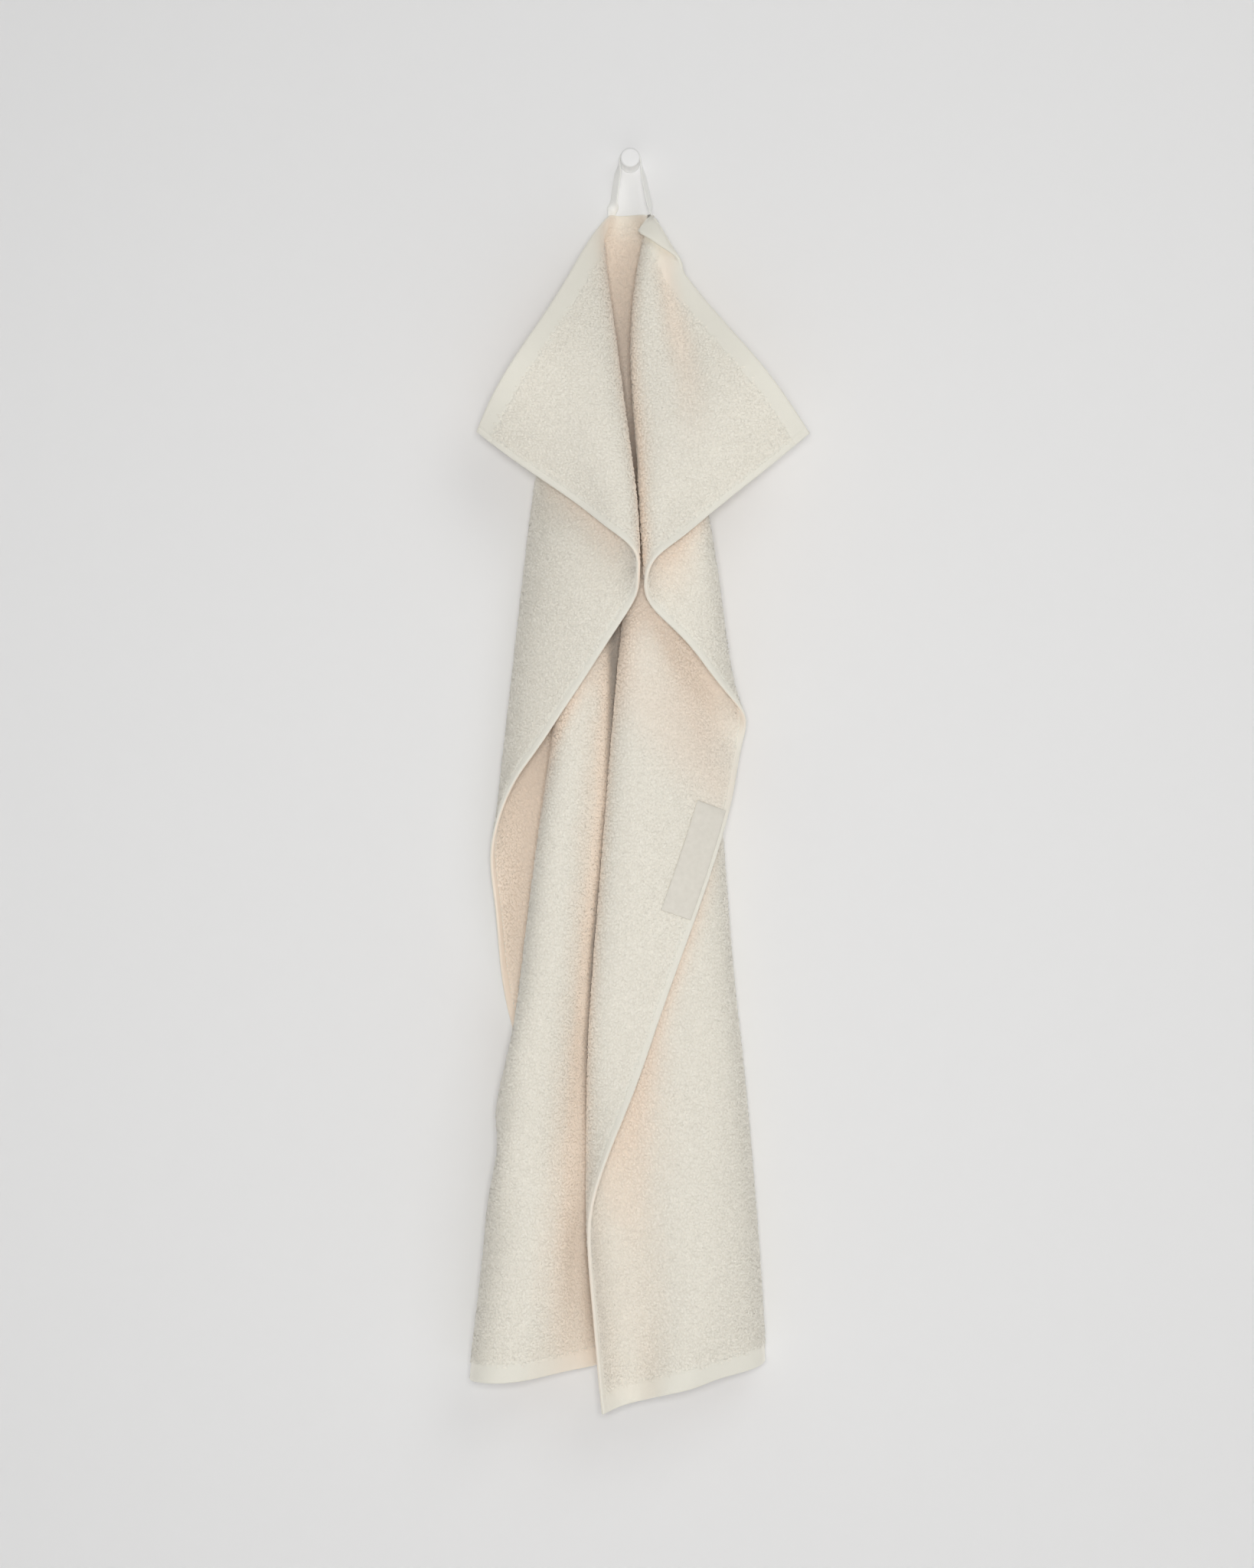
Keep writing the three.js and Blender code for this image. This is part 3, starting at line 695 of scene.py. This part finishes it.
def add_piece(name, points, faces, material):
    """A smooth mesh from arrays, in millimetres, that rides on the part's one body."""
    mesh = bpy.data.meshes.new(name)
    mesh.vertices.add(len(points))
    mesh.vertices.foreach_set("co", (np.asarray(points) * MM).astype(np.float32).ravel())
    count, sides = faces.shape
    mesh.loops.add(count * sides)
    mesh.loops.foreach_set("vertex_index", faces.astype(np.int32).ravel())
    mesh.polygons.add(count)
    mesh.polygons.foreach_set("loop_start", np.arange(0, count * sides, sides, dtype=np.int32))
    mesh.polygons.foreach_set("use_smooth", np.ones(count, bool))
    mesh.update(calc_edges=True)
    mesh.materials.append(material)
    piece = bpy.data.objects.new(name, mesh)
    bpy.context.scene.collection.objects.link(piece)
    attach(piece, "root")
    return piece


def set_values(piece, name, values):
    """Stores one number a point, for the material to read."""
    made = piece.data.attributes.new(name, "FLOAT", "POINT")
    made.data.foreach_set("value", np.asarray(values, np.float32).ravel())


def closed_sheet(front, back):
    """Points and quads of a sheet with two faces and a rim, from two grids of points."""
    rows, cols = front.shape[:2]
    behind = rows * cols
    n = np.arange(behind).reshape(rows, cols)
    front_quads = grid_quads(n)
    back_quads = front_quads[:, ::-1] + behind
    ring = np.concatenate([n[0, :-1], n[:-1, -1], n[-1, :0:-1], n[:0:-1, 0]])
    following = np.roll(ring, -1)
    rim_quads = np.stack([ring, following, following + behind, ring + behind], -1)
    points = np.concatenate([front.reshape(-1, 3), back.reshape(-1, 3)])
    return points, np.concatenate([front_quads, back_quads, rim_quads])


def edge_places(whole, hem):
    """Places from 0 to `whole`: close together over each hem and its edge, and FINE_CELL apart between."""
    first = EDGE_PLACES[-1]
    seam = [hem + place for place in SEAM_PLACES]
    between = np.linspace(first, seam[0], max(2, round((seam[0] - first) / HEM_CELL) + 1))[1:-1]
    near = np.concatenate([EDGE_PLACES, between, seam])
    inner = np.linspace(near[-1], whole - near[-1], round((whole - 2 * near[-1]) / FINE_CELL) + 1)
    return np.concatenate([near, inner[1:-1], whole - near[::-1]])


def past_hem(far, hem):
    """From 0 in a hem to 1 past the slope at its end, at distances from the edge."""
    return smooth_step(hem + HEM_SLOPE[0], hem + HEM_SLOPE[1], far)


def groove(far, hem):
    """How far a hem's stitches draw each face in, at distances from the edge."""
    return GROOVE_DEEP * np.exp(-(((far - hem + STITCH_INSET) / GROOVE_HALF) ** 2))


def half_thickness(side, end):
    """Half the cloth's thickness and its share of hem, from the distances to a long and a short edge."""
    nearest = np.minimum(side, end)
    rounded = np.sqrt(np.clip(1 - (1 - np.clip(nearest / EDGE_ROUND, 0, 1)) ** 2, 0, 1))
    in_hem = 1 - past_hem(side, SIDE_HEM) * past_hem(end, END_HEM)
    half = GROUND_HALF + (HEM_HALF - GROUND_HALF) * in_hem
    half -= np.maximum(groove(side, SIDE_HEM), groove(end, END_HEM))
    return EDGE_HALF + (half - EDGE_HALF) * rounded, in_hem


def make_towel(cloth, material):
    """The cloth itself, with its hems and its painted fold shade; the back of the lip gets no painted fold
    shade and is as bright as the open cloth.
    """
    along = edge_places(TOWEL_WIDE, SIDE_HEM) - TOWEL_WIDE / 2
    down = edge_places(TOWEL_LONG, END_HEM)
    places, facing = cloth.grid_with_facing(along, down)
    side = (TOWEL_WIDE / 2 - np.abs(along))[None, :]
    end = np.minimum(down, TOWEL_LONG - down)[:, None]
    half, in_hem = half_thickness(side, end)
    lift = facing * half[..., None]
    points, faces = closed_sheet(places + lift, places - lift)
    towel = add_piece("towel_cloth", points, faces, material)
    set_values(towel, "tone", np.full(len(points), GROUND_TONE))
    set_values(towel, "hem", np.tile(in_hem.ravel(), 2))
    front_shade = cloth.read(cloth.shade[1], along, down)[..., 0]
    back_shade = cloth.read(cloth.shade[-1], along, down)[..., 0]
    back_shade *= 1 - np.outer(down < END_HEM, lip_share(along) > 0)
    set_values(towel, "shade", np.stack([front_shade, back_shade]))
    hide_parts("towel")
    return towel


def pile_places(random):
    """Places of the pile's ridges, in staggered rows, each a little off and thinning out over the hems."""
    row_pitch = PILE_PITCH * math.sqrt(3) / 2
    row = np.arange(int(TOWEL_LONG / row_pitch))
    col = np.arange(int(TOWEL_WIDE / PILE_PITCH))
    down, along = np.meshgrid(row * row_pitch, col * PILE_PITCH, indexing="ij")
    along = along + np.where(row[:, None] % 2, 0.5, 0) * PILE_PITCH - TOWEL_WIDE / 2
    along = along + random.uniform(-PILE_JITTER, PILE_JITTER, along.shape) * PILE_PITCH
    down = down + random.uniform(-PILE_JITTER, PILE_JITTER, down.shape) * PILE_PITCH
    side = TOWEL_WIDE / 2 - np.abs(along)
    end = np.minimum(down, TOWEL_LONG - down)
    rolled = smooth_step(*ROLLED_LEFT, along) - smooth_step(*ROLLED_RIGHT, along)
    end_far = end + ROLLED_HEM * rolled * (down < TOWEL_LONG / 2)
    end_share = smooth_step(END_HEM - PILE_FADE_END, END_HEM + PILE_FADE_INSIDE, end_far)
    side_share = smooth_step(SIDE_HEM - PILE_FADE_SIDE, SIDE_HEM + PILE_FADE_INSIDE, side)
    kept = end_share > random.uniform(0, 1, end.shape)
    kept &= side_share > random.uniform(0, 1, side.shape)
    return along[kept], down[kept]


def make_pile(name, cloth, along, down, side, random, material):
    """Pile on one side of the cloth: each tuft a low ridge over two slopes, closed underneath."""
    places, facing = cloth.scattered(along, down)
    count = len(places)
    below = cloth.scattered(along, np.minimum(down + PILE_STEP, TOWEL_LONG))[0]
    above = cloth.scattered(along, np.maximum(down - PILE_STEP, 0))[0]
    facing = side * facing
    out = unit(facing + random.normal(0, PILE_LEAN, (count, 3)))
    first = unit(np.cross(out, unit(below - above)))
    turn = random.normal(0, PILE_TURN, (count, 1))
    across = np.cos(turn) * first + np.sin(turn) * np.cross(out, first)
    running = np.cross(out, across)
    size = random.uniform(*PILE_SIZES, (count, 1))
    root = places + facing * (GROUND_HALF - PILE_ROOT)
    top = root + out * PILE_HEIGHT * random.uniform(*PILE_HEIGHTS, (count, 1))
    points = np.stack([
        top - running * size * PILE_LONG / 2,
        top + running * size * PILE_LONG / 2,
        root - across * size * PILE_WIDE / 2,
        root + across * size * PILE_WIDE / 2,
    ], 1)
    ridge = np.array([[0, 1, 2], [1, 0, 3], [2, 3, 0], [3, 2, 1]])
    faces = (np.arange(count)[:, None, None] * 4 + ridge).reshape(-1, 3)
    pile = add_piece(name, points.reshape(-1, 3), faces, material)
    middle = unit(facing + PILE_TO_OPEN * cloth.blend_kept(cloth.open_way[side], along, down))
    rounded = np.stack([-running, running, -across, across], 1)
    shading = unit(middle[:, None, :] + PILE_SOFT * rounded)
    pile.data.normals_split_custom_set_from_vertices(shading.reshape(-1, 3).tolist())
    set_values(pile, "shade", np.repeat(cloth.blend_kept(cloth.shade[side], along, down), 4))
    # The tips take a random tone; the root of each ridge takes a darker one, as painted shade between the
    # loops.
    tips = random.uniform(*PILE_TIP_TONES, (count, 2))
    painted_root_shade = random.uniform(*PILE_ROOT_PAINTED_SHADE, (count, 2))
    set_values(pile, "tone", np.concatenate([tips, painted_root_shade], 1))
    return pile


def make_piles(cloth, material):
    """The pile of both faces, in an upper and a lower half each, with none under the label."""
    random = np.random.default_rng(SEED)
    along, down = pile_places(random)
    right = TOWEL_WIDE / 2 - LABEL_INSET
    under_label = (along > right - LABEL_WIDE + LABEL_OVERLAP) & (along < right - LABEL_OVERLAP)
    under_label &= down > LABEL_TOP + LABEL_OVERLAP
    under_label &= down < LABEL_TOP + LABEL_LONG - LABEL_OVERLAP
    upper = down < TOWEL_LONG / 2
    piles = []
    for face, side in (("front", 1), ("back", -1)):
        shown = ~under_label if side > 0 else np.ones(len(along), bool)
        for half, part in (("upper", upper & shown), ("lower", ~upper & shown)):
            name = f"pile_{face}_{half}"
            piles.append(make_pile(name, cloth, along[part], down[part], side, random, material))
    return piles


def bars(path, normal, radius):
    """Points and quads of many short bars, from paths that are count x steps x 3."""
    count, steps = path.shape[:2]
    along = unit(np.gradient(path, axis=1))
    across = unit(np.cross(along, normal[:, None, :]))
    up = np.cross(across, along)
    turn = (2 * np.pi * np.arange(STITCH_SIDES) / STITCH_SIDES)[:, None]
    ring = np.cos(turn) * across[:, :, None, :] + np.sin(turn) * up[:, :, None, :]
    points = path[:, :, None, :] + ring * radius[None, :, None, None]
    n = np.arange(count * steps * STITCH_SIDES).reshape(count, steps, STITCH_SIDES)
    following = np.roll(n, -1, axis=2)
    quads = np.stack([n[:, :-1], following[:, :-1], following[:, 1:], n[:, 1:]], -1).reshape(-1, 4)
    return points.reshape(-1, 3), np.concatenate([quads, n[:, 0, ::-1], n[:, -1]])


def stitch_row(cloth, fixed, low, high, side, across):
    """Stitches along one seam on one face: `across` tells whether the seam runs across the cloth."""
    count = int((high - low) / STITCH_PITCH)
    middle = low + (np.arange(count) + 0.5) * (high - low) / count
    running = (middle[:, None] + STITCH_PLACES * STITCH_LONG).ravel()
    still = np.full(len(running), fixed)
    along, down = (running, still) if across else (still, running)
    places, facing = cloth.scattered(along, down)
    lift = np.tile(HEM_HALF + STITCH_LIFTS, count)[:, None]
    shape = (count, len(STITCH_PLACES), 3)
    path = places + side * facing * lift
    return path.reshape(shape), side * facing.reshape(shape)[:, 1]


def make_stitches(cloth, material):
    """The stitches of all four hems, on both faces."""
    side_seam = TOWEL_WIDE / 2 - SIDE_HEM + STITCH_INSET
    end_seam = END_HEM - STITCH_INSET
    reach = TOWEL_WIDE / 2 - STITCH_END
    rows = []
    for side in (1, -1):
        for fixed in (end_seam, TOWEL_LONG - end_seam):
            rows.append(stitch_row(cloth, fixed, -reach, reach, side, True))
        for fixed in (-side_seam, side_seam):
            rows.append(stitch_row(cloth, fixed, END_HEM, TOWEL_LONG - END_HEM, side, False))
    path = np.concatenate([row[0] for row in rows])
    normal = np.concatenate([row[1] for row in rows])
    points, faces = bars(path, normal, STITCH_RADIUS * STITCH_TAPER)
    return add_piece("hem_stitches", points, faces, material)


def sewn_end(cloth, column):
    """Places down the back of the top hem where a tape end is sewn on, and the way the hem runs there."""
    along = (column + TAPE_INSET_SHARE) * CELL - TOWEL_WIDE / 2
    down = [TAPE_SEWN_FROM, TAPE_SEWN / 2, TAPE_SEWN]
    places = cloth.read(cloth.points, [along - TAPE_PROBE, along, along + TAPE_PROBE], down)
    hem = unit(places[0, 2] - places[0, 0])
    facing = unit(np.cross(places[2, 1] - places[0, 1], hem))
    return places[:, 1] - facing * (HEM_HALF + TAPE_THICK / 2), hem


def tape_line(cloth):
    """The tape's middle line and the way its width runs, from its left end over the peg to its right."""
    left, left_hem = sewn_end(cloth, LOOP_LEFT)
    right, right_hem = sewn_end(cloth, LOOP_RIGHT)
    radius = PEG_WAIST_RADIUS + TAPE_GAP + TAPE_THICK / 2
    turn = np.pi * (1 - np.arange(TAPE_STEPS + 1) / TAPE_STEPS)
    over = np.zeros((len(turn), 3))
    over[:, 0] = radius * np.cos(turn)
    over[:, 1] = -PEG_WAIST_MIDDLE
    over[:, 2] = radius * np.sin(turn)
    share = (np.arange(1, TAPE_STEPS) / TAPE_STEPS)[:, None]
    rising = left[0] + (over[0] - left[0]) * share
    falling = over[-1] + (right[0] - over[-1]) * share
    line = np.concatenate([left[::-1], rising, over, falling, right])
    turned_left = np.array([TAPE_TURN_LEFT, -1.0, 0.0])
    turned_right = np.array([-TAPE_TURN_RIGHT, -1.0, 0.0])
    at_start = 1 - smooth_step(0, TAPE_TWIST, share)
    at_end = smooth_step(1 - TAPE_TWIST, 1, share)
    between = 1 - at_start - at_end
    width = np.concatenate([
        np.tile(left_hem, (len(left), 1)),
        left_hem * at_start + TO_ROOM * at_end + turned_left * between,
        np.tile(TO_ROOM, (len(over), 1)),
        TO_ROOM * at_start + right_hem * at_end + turned_right * between,
        np.tile(right_hem, (len(right), 1)),
    ])
    return line, unit(width)


def make_tape(cloth, material):
    line, width = tape_line(cloth)
    face = unit(np.cross(np.gradient(line, axis=0), width))
    middle = line[:, None, :] + width[:, None, :] * (TAPE_PLACES * TAPE_WIDE)[None, :, None]
    lift = face[:, None, :] * (TAPE_THICK / 2 * TAPE_SHARES)[None, :, None]
    points, faces = closed_sheet(middle + lift, middle - lift)
    tape = add_piece("loop_tape", points, faces, material)
    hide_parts("hang_loop")
    return tape


def label_places(whole, count):
    """Places from 0 to `whole`, close together at both ends."""
    inside = np.linspace(LABEL_INSIDE, whole - LABEL_INSIDE, count)
    return np.concatenate([LABEL_RIM, inside, whole - LABEL_RIM[::-1]])


def make_label(cloth, material):
    """The bare woven label, bent with the cloth under it and drawn in where it is sewn."""
    along = label_places(LABEL_WIDE, LABEL_COLS)
    down = label_places(LABEL_LONG, LABEL_ROWS)
    left = TOWEL_WIDE / 2 - LABEL_INSET - LABEL_WIDE
    places, facing = cloth.grid_with_facing(along + left, down + LABEL_TOP)
    side = np.minimum(along, LABEL_WIDE - along)[None, :]
    end = np.minimum(down, LABEL_LONG - down)[:, None]
    nearest = np.minimum(side, end)
    rounded = np.sqrt(np.clip(nearest, 0, 1))
    thick = LABEL_THICK * (LABEL_RIM_SHARE + (1 - LABEL_RIM_SHARE) * rounded)
    sunk = LABEL_SUNK * (1 - smooth_step(0, LABEL_SUNK_OVER, nearest))
    back = places + facing * (LABEL_LIFT - sunk)[..., None]
    front = back + facing * thick[..., None]
    points, faces = closed_sheet(front, back)
    label = add_piece("woven_label", points, faces, material)
    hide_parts("label")
    return label


def make_peg(material):
    """The peg, turned with rounded edges, on its flat back."""
    rings = PEG_FOOT + PEG_WAIST + PEG_HEAD
    for t in np.linspace(0, math.pi / 2, PEG_ROUND_STEPS):
        radius = PEG_HEAD_RADIUS - PEG_ROUND * (1 - math.cos(t))
        rings.append((radius, PEG_ROUND_FROM + PEG_ROUND * math.sin(t)))
    rings += PEG_FACE
    turn = 2 * np.pi * np.arange(PEG_SIDES) / PEG_SIDES
    points = [[0, 0, 0], [0, -PEG_LONG, 0]]
    points += [[r * math.cos(t), -out, r * math.sin(t)] for r, out in rings for t in turn]
    n = 2 + np.arange(len(rings) * PEG_SIDES).reshape(len(rings), PEG_SIDES)
    following = np.roll(n, -1, axis=1)
    quads = np.stack([n[:-1], following[:-1], following[1:], n[1:]], -1).reshape(-1, 4)
    back = np.stack([np.zeros(PEG_SIDES, int), following[0], n[0]], -1)
    front = np.stack([np.ones(PEG_SIDES, int), n[-1], following[-1]], -1)
    faces = np.concatenate([quads[:, [0, 1, 2]], quads[:, [0, 2, 3]], back, front])
    peg = add_piece("wall_peg", np.array(points), faces, material)
    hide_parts("hook")
    return peg


def new_material(name, colour, roughness):
    material = bpy.data.materials.new(name)
    material.use_nodes = True
    nodes = material.node_tree.nodes
    shader = nodes["Principled BSDF"]
    shader.inputs["Base Color"].default_value = (*colour, 1)
    shader.inputs["Roughness"].default_value = roughness
    return material, nodes, material.node_tree.links, shader


def noise(nodes, links, scale, detail):
    place = nodes.new("ShaderNodeTexCoord")
    made = nodes.new("ShaderNodeTexNoise")
    made.inputs["Scale"].default_value = scale
    made.inputs["Detail"].default_value = detail
    links.new(place.outputs["Object"], made.inputs["Vector"])
    return made.outputs["Fac"]


def stored(nodes, name):
    """The numbers that set_values stored under this name."""
    made = nodes.new("ShaderNodeAttribute")
    made.attribute_name = name
    return made.outputs["Fac"]


def ramp(nodes, links, value, dark, light, low, high):
    made = nodes.new("ShaderNodeValToRGB")
    made.color_ramp.elements[0].position = low
    made.color_ramp.elements[1].position = high
    made.color_ramp.elements[0].color = (*dark, 1)
    made.color_ramp.elements[1].color = (*light, 1)
    links.new(value, made.inputs["Fac"])
    return made.outputs["Color"]


def mix_to(nodes, links, share, colours, colour):
    """Moves colours towards one colour by a share."""
    made = nodes.new("ShaderNodeMix")
    made.data_type = "RGBA"
    made.inputs["B"].default_value = (*colour, 1)
    links.new(share, made.inputs["Factor"])
    links.new(colours, made.inputs["A"])
    return made.outputs["Result"]


def bump(nodes, links, shader, height, strength, distance):
    made = nodes.new("ShaderNodeBump")
    made.inputs["Strength"].default_value = strength
    made.inputs["Distance"].default_value = distance
    links.new(height, made.inputs["Height"])
    links.new(made.outputs["Normal"], shader.inputs["Normal"])


def terry_material():
    """Ivory cotton: faintly mottled, with painted warm shade inside the folds and painted shade at the root
    of each pile ridge, a soft sheen and a fine bump for yarn.
    """
    material, nodes, links, shader = new_material("ivory_terry", TERRY_LIGHT, roughness=0.95)
    shader.inputs["Sheen Weight"].default_value = 1.0
    shader.inputs["Sheen Roughness"].default_value = 0.5
    shader.inputs["Sheen Tint"].default_value = (*SHEEN_TINT, 1)
    shader.inputs["Specular IOR Level"].default_value = 0.15
    # Random mottle, mixed with the stored tone, which is low at the root of each pile ridge as painted shade.
    tone = nodes.new("ShaderNodeMix")
    tone.inputs["Factor"].default_value = TONE_SHARE
    links.new(noise(nodes, links, scale=160, detail=3), tone.inputs["A"])
    links.new(stored(nodes, "tone"), tone.inputs["B"])
    colours = ramp(nodes, links, tone.outputs["Result"], TERRY_DARK, TERRY_LIGHT, low=0.12, high=0.88)
    in_hem = nodes.new("ShaderNodeMath")
    in_hem.operation = "MULTIPLY"
    in_hem.inputs[1].default_value = HEM_SHARE
    links.new(stored(nodes, "hem"), in_hem.inputs[0])
    colours = mix_to(nodes, links, in_hem.outputs[0], colours, HEM_COLOUR)
    # The stored shade share paints warm shade into the folds.
    in_painted_shade = nodes.new("ShaderNodeMapRange")
    in_painted_shade.inputs["From Min"].default_value = PAINTED_SHADE_FROM
    in_painted_shade.inputs["From Max"].default_value = PAINTED_SHADE_FULL
    links.new(stored(nodes, "shade"), in_painted_shade.inputs["Value"])
    colours = mix_to(nodes, links, in_painted_shade.outputs["Result"], colours, PAINTED_FOLD_SHADE)
    links.new(colours, shader.inputs["Base Color"])
    yarn = noise(nodes, links, scale=1400, detail=2)
    bump(nodes, links, shader, yarn, strength=0.35, distance=0.0006)
    return material


def thread_material(name, dark, light, scale):
    """Woven cotton: a fine bump for its threads and a slight change of colour."""
    material, nodes, links, shader = new_material(name, light, roughness=0.8)
    shader.inputs["Specular IOR Level"].default_value = 0.2
    shader.inputs["Sheen Weight"].default_value = 0.15
    mottle = noise(nodes, links, scale=220, detail=3)
    colours = ramp(nodes, links, mottle, dark, light, low=0.3, high=0.7)
    links.new(colours, shader.inputs["Base Color"])
    threads = noise(nodes, links, scale, detail=1)
    bump(nodes, links, shader, threads, strength=0.4, distance=0.0003)
    return material


def peg_material():
    """White moulded plastic, a little uneven in its gloss."""
    material, nodes, links, shader = new_material("white_plastic", PEG_COLOUR, roughness=0.4)
    shader.inputs["Specular IOR Level"].default_value = 0.4
    gloss = nodes.new("ShaderNodeMapRange")
    gloss.inputs["To Min"].default_value = 0.34
    gloss.inputs["To Max"].default_value = 0.5
    links.new(noise(nodes, links, scale=300, detail=2), gloss.inputs["Value"])
    links.new(gloss.outputs["Result"], shader.inputs["Roughness"])
    return material


def wall_material():
    """Matt paint that is clear from behind, and that casts no shadow."""
    material, nodes, links, shader = new_material("pale_wall", WALL_GREY, WALL_ROUGHNESS)
    clear = nodes.new("ShaderNodeBsdfTransparent")
    mix = nodes.new("ShaderNodeMixShader")
    geometry = nodes.new("ShaderNodeNewGeometry")
    path = nodes.new("ShaderNodeLightPath")
    either = nodes.new("ShaderNodeMath")
    either.operation = "MAXIMUM"
    links.new(geometry.outputs["Backfacing"], either.inputs[0])
    links.new(path.outputs["Is Shadow Ray"], either.inputs[1])
    links.new(either.outputs[0], mix.inputs["Fac"])
    links.new(shader.outputs["BSDF"], mix.inputs[1])
    links.new(clear.outputs["BSDF"], mix.inputs[2])
    links.new(mix.outputs["Shader"], nodes["Material Output"].inputs["Surface"])
    return material


def add_stage(name, corners, material):
    mesh = bpy.data.meshes.new(name)
    mesh.from_pydata(corners, [], [[0, 1, 2, 3]])
    mesh.materials.append(material)
    made = bpy.data.objects.new(name, mesh)
    bpy.context.scene.collection.objects.link(made)


def make_stage():
    wall_corners = ((-1, FLOOR_LEVEL), (1, FLOOR_LEVEL), (1, WALL_TOP), (-1, WALL_TOP))
    wall = [(side * WALL_HALF, WALL_BEHIND, level) for side, level in wall_corners]
    floor_corners = ((-1, -1), (1, -1), (1, 1), (-1, 1))
    floor = [(side * WALL_HALF, end * FLOOR_DEEP, FLOOR_LEVEL) for side, end in floor_corners]
    add_stage("wall", wall, wall_material())
    add_stage("floor", floor, new_material("pale_floor", WALL_GREY, WALL_ROUGHNESS)[0])


def add_lamp(name, place, size, watts, colour):
    lamp = bpy.data.lights.new(name, "AREA")
    lamp.shape = "SQUARE"
    lamp.size = size
    lamp.energy = watts
    lamp.color = colour
    made = bpy.data.objects.new(name, lamp)
    made.location = place
    way = Vector(LIT_MIDDLE) - made.location
    made.rotation_euler = way.to_track_quat("-Z", "Y").to_euler()
    bpy.context.scene.collection.objects.link(made)


def make_light():
    for lamp in LAMPS:
        add_lamp(**lamp)
    world = bpy.data.worlds.new("studio")
    world.use_nodes = True
    surround = world.node_tree.nodes["Background"]
    surround.inputs["Color"].default_value = (*SURROUND_COLOUR, 1)
    surround.inputs["Strength"].default_value = SURROUND_STRENGTH
    scene = bpy.context.scene
    scene.world = world
    scene.view_settings.view_transform = "Standard"
    scene.cycles.diffuse_bounces = DIFFUSE_BOUNCES
    scene.cycles.max_bounces = DIFFUSE_BOUNCES + OTHER_BOUNCES


def make_camera():
    camera = bpy.data.cameras.new("camera")
    camera.sensor_width = SENSOR
    camera.lens = SENSOR * CAMERA_AWAY / FRAME_TALL
    made = bpy.data.objects.new("camera", camera)
    made.location = (CAMERA_SIDE, -CAMERA_AWAY, CAMERA_LEVEL)
    made.rotation_euler = (math.pi / 2, 0, 0)
    bpy.context.scene.collection.objects.link(made)
    bpy.context.scene.camera = made


make_camera()
make_stage()
make_light()
cloth = Cloth()
terry = terry_material()
towel = make_towel(cloth, terry)
piles = make_piles(cloth, terry)
stitches = make_stitches(cloth, thread_material("cream_thread", *THREAD_COLOURS, scale=900))
tape = make_tape(cloth, thread_material("white_tape", *TAPE_COLOURS, scale=1100))
label = make_label(cloth, thread_material("label_weave", *LABEL_COLOURS, scale=1300))
make_peg(peg_material())

bpy.context.view_layer.update()
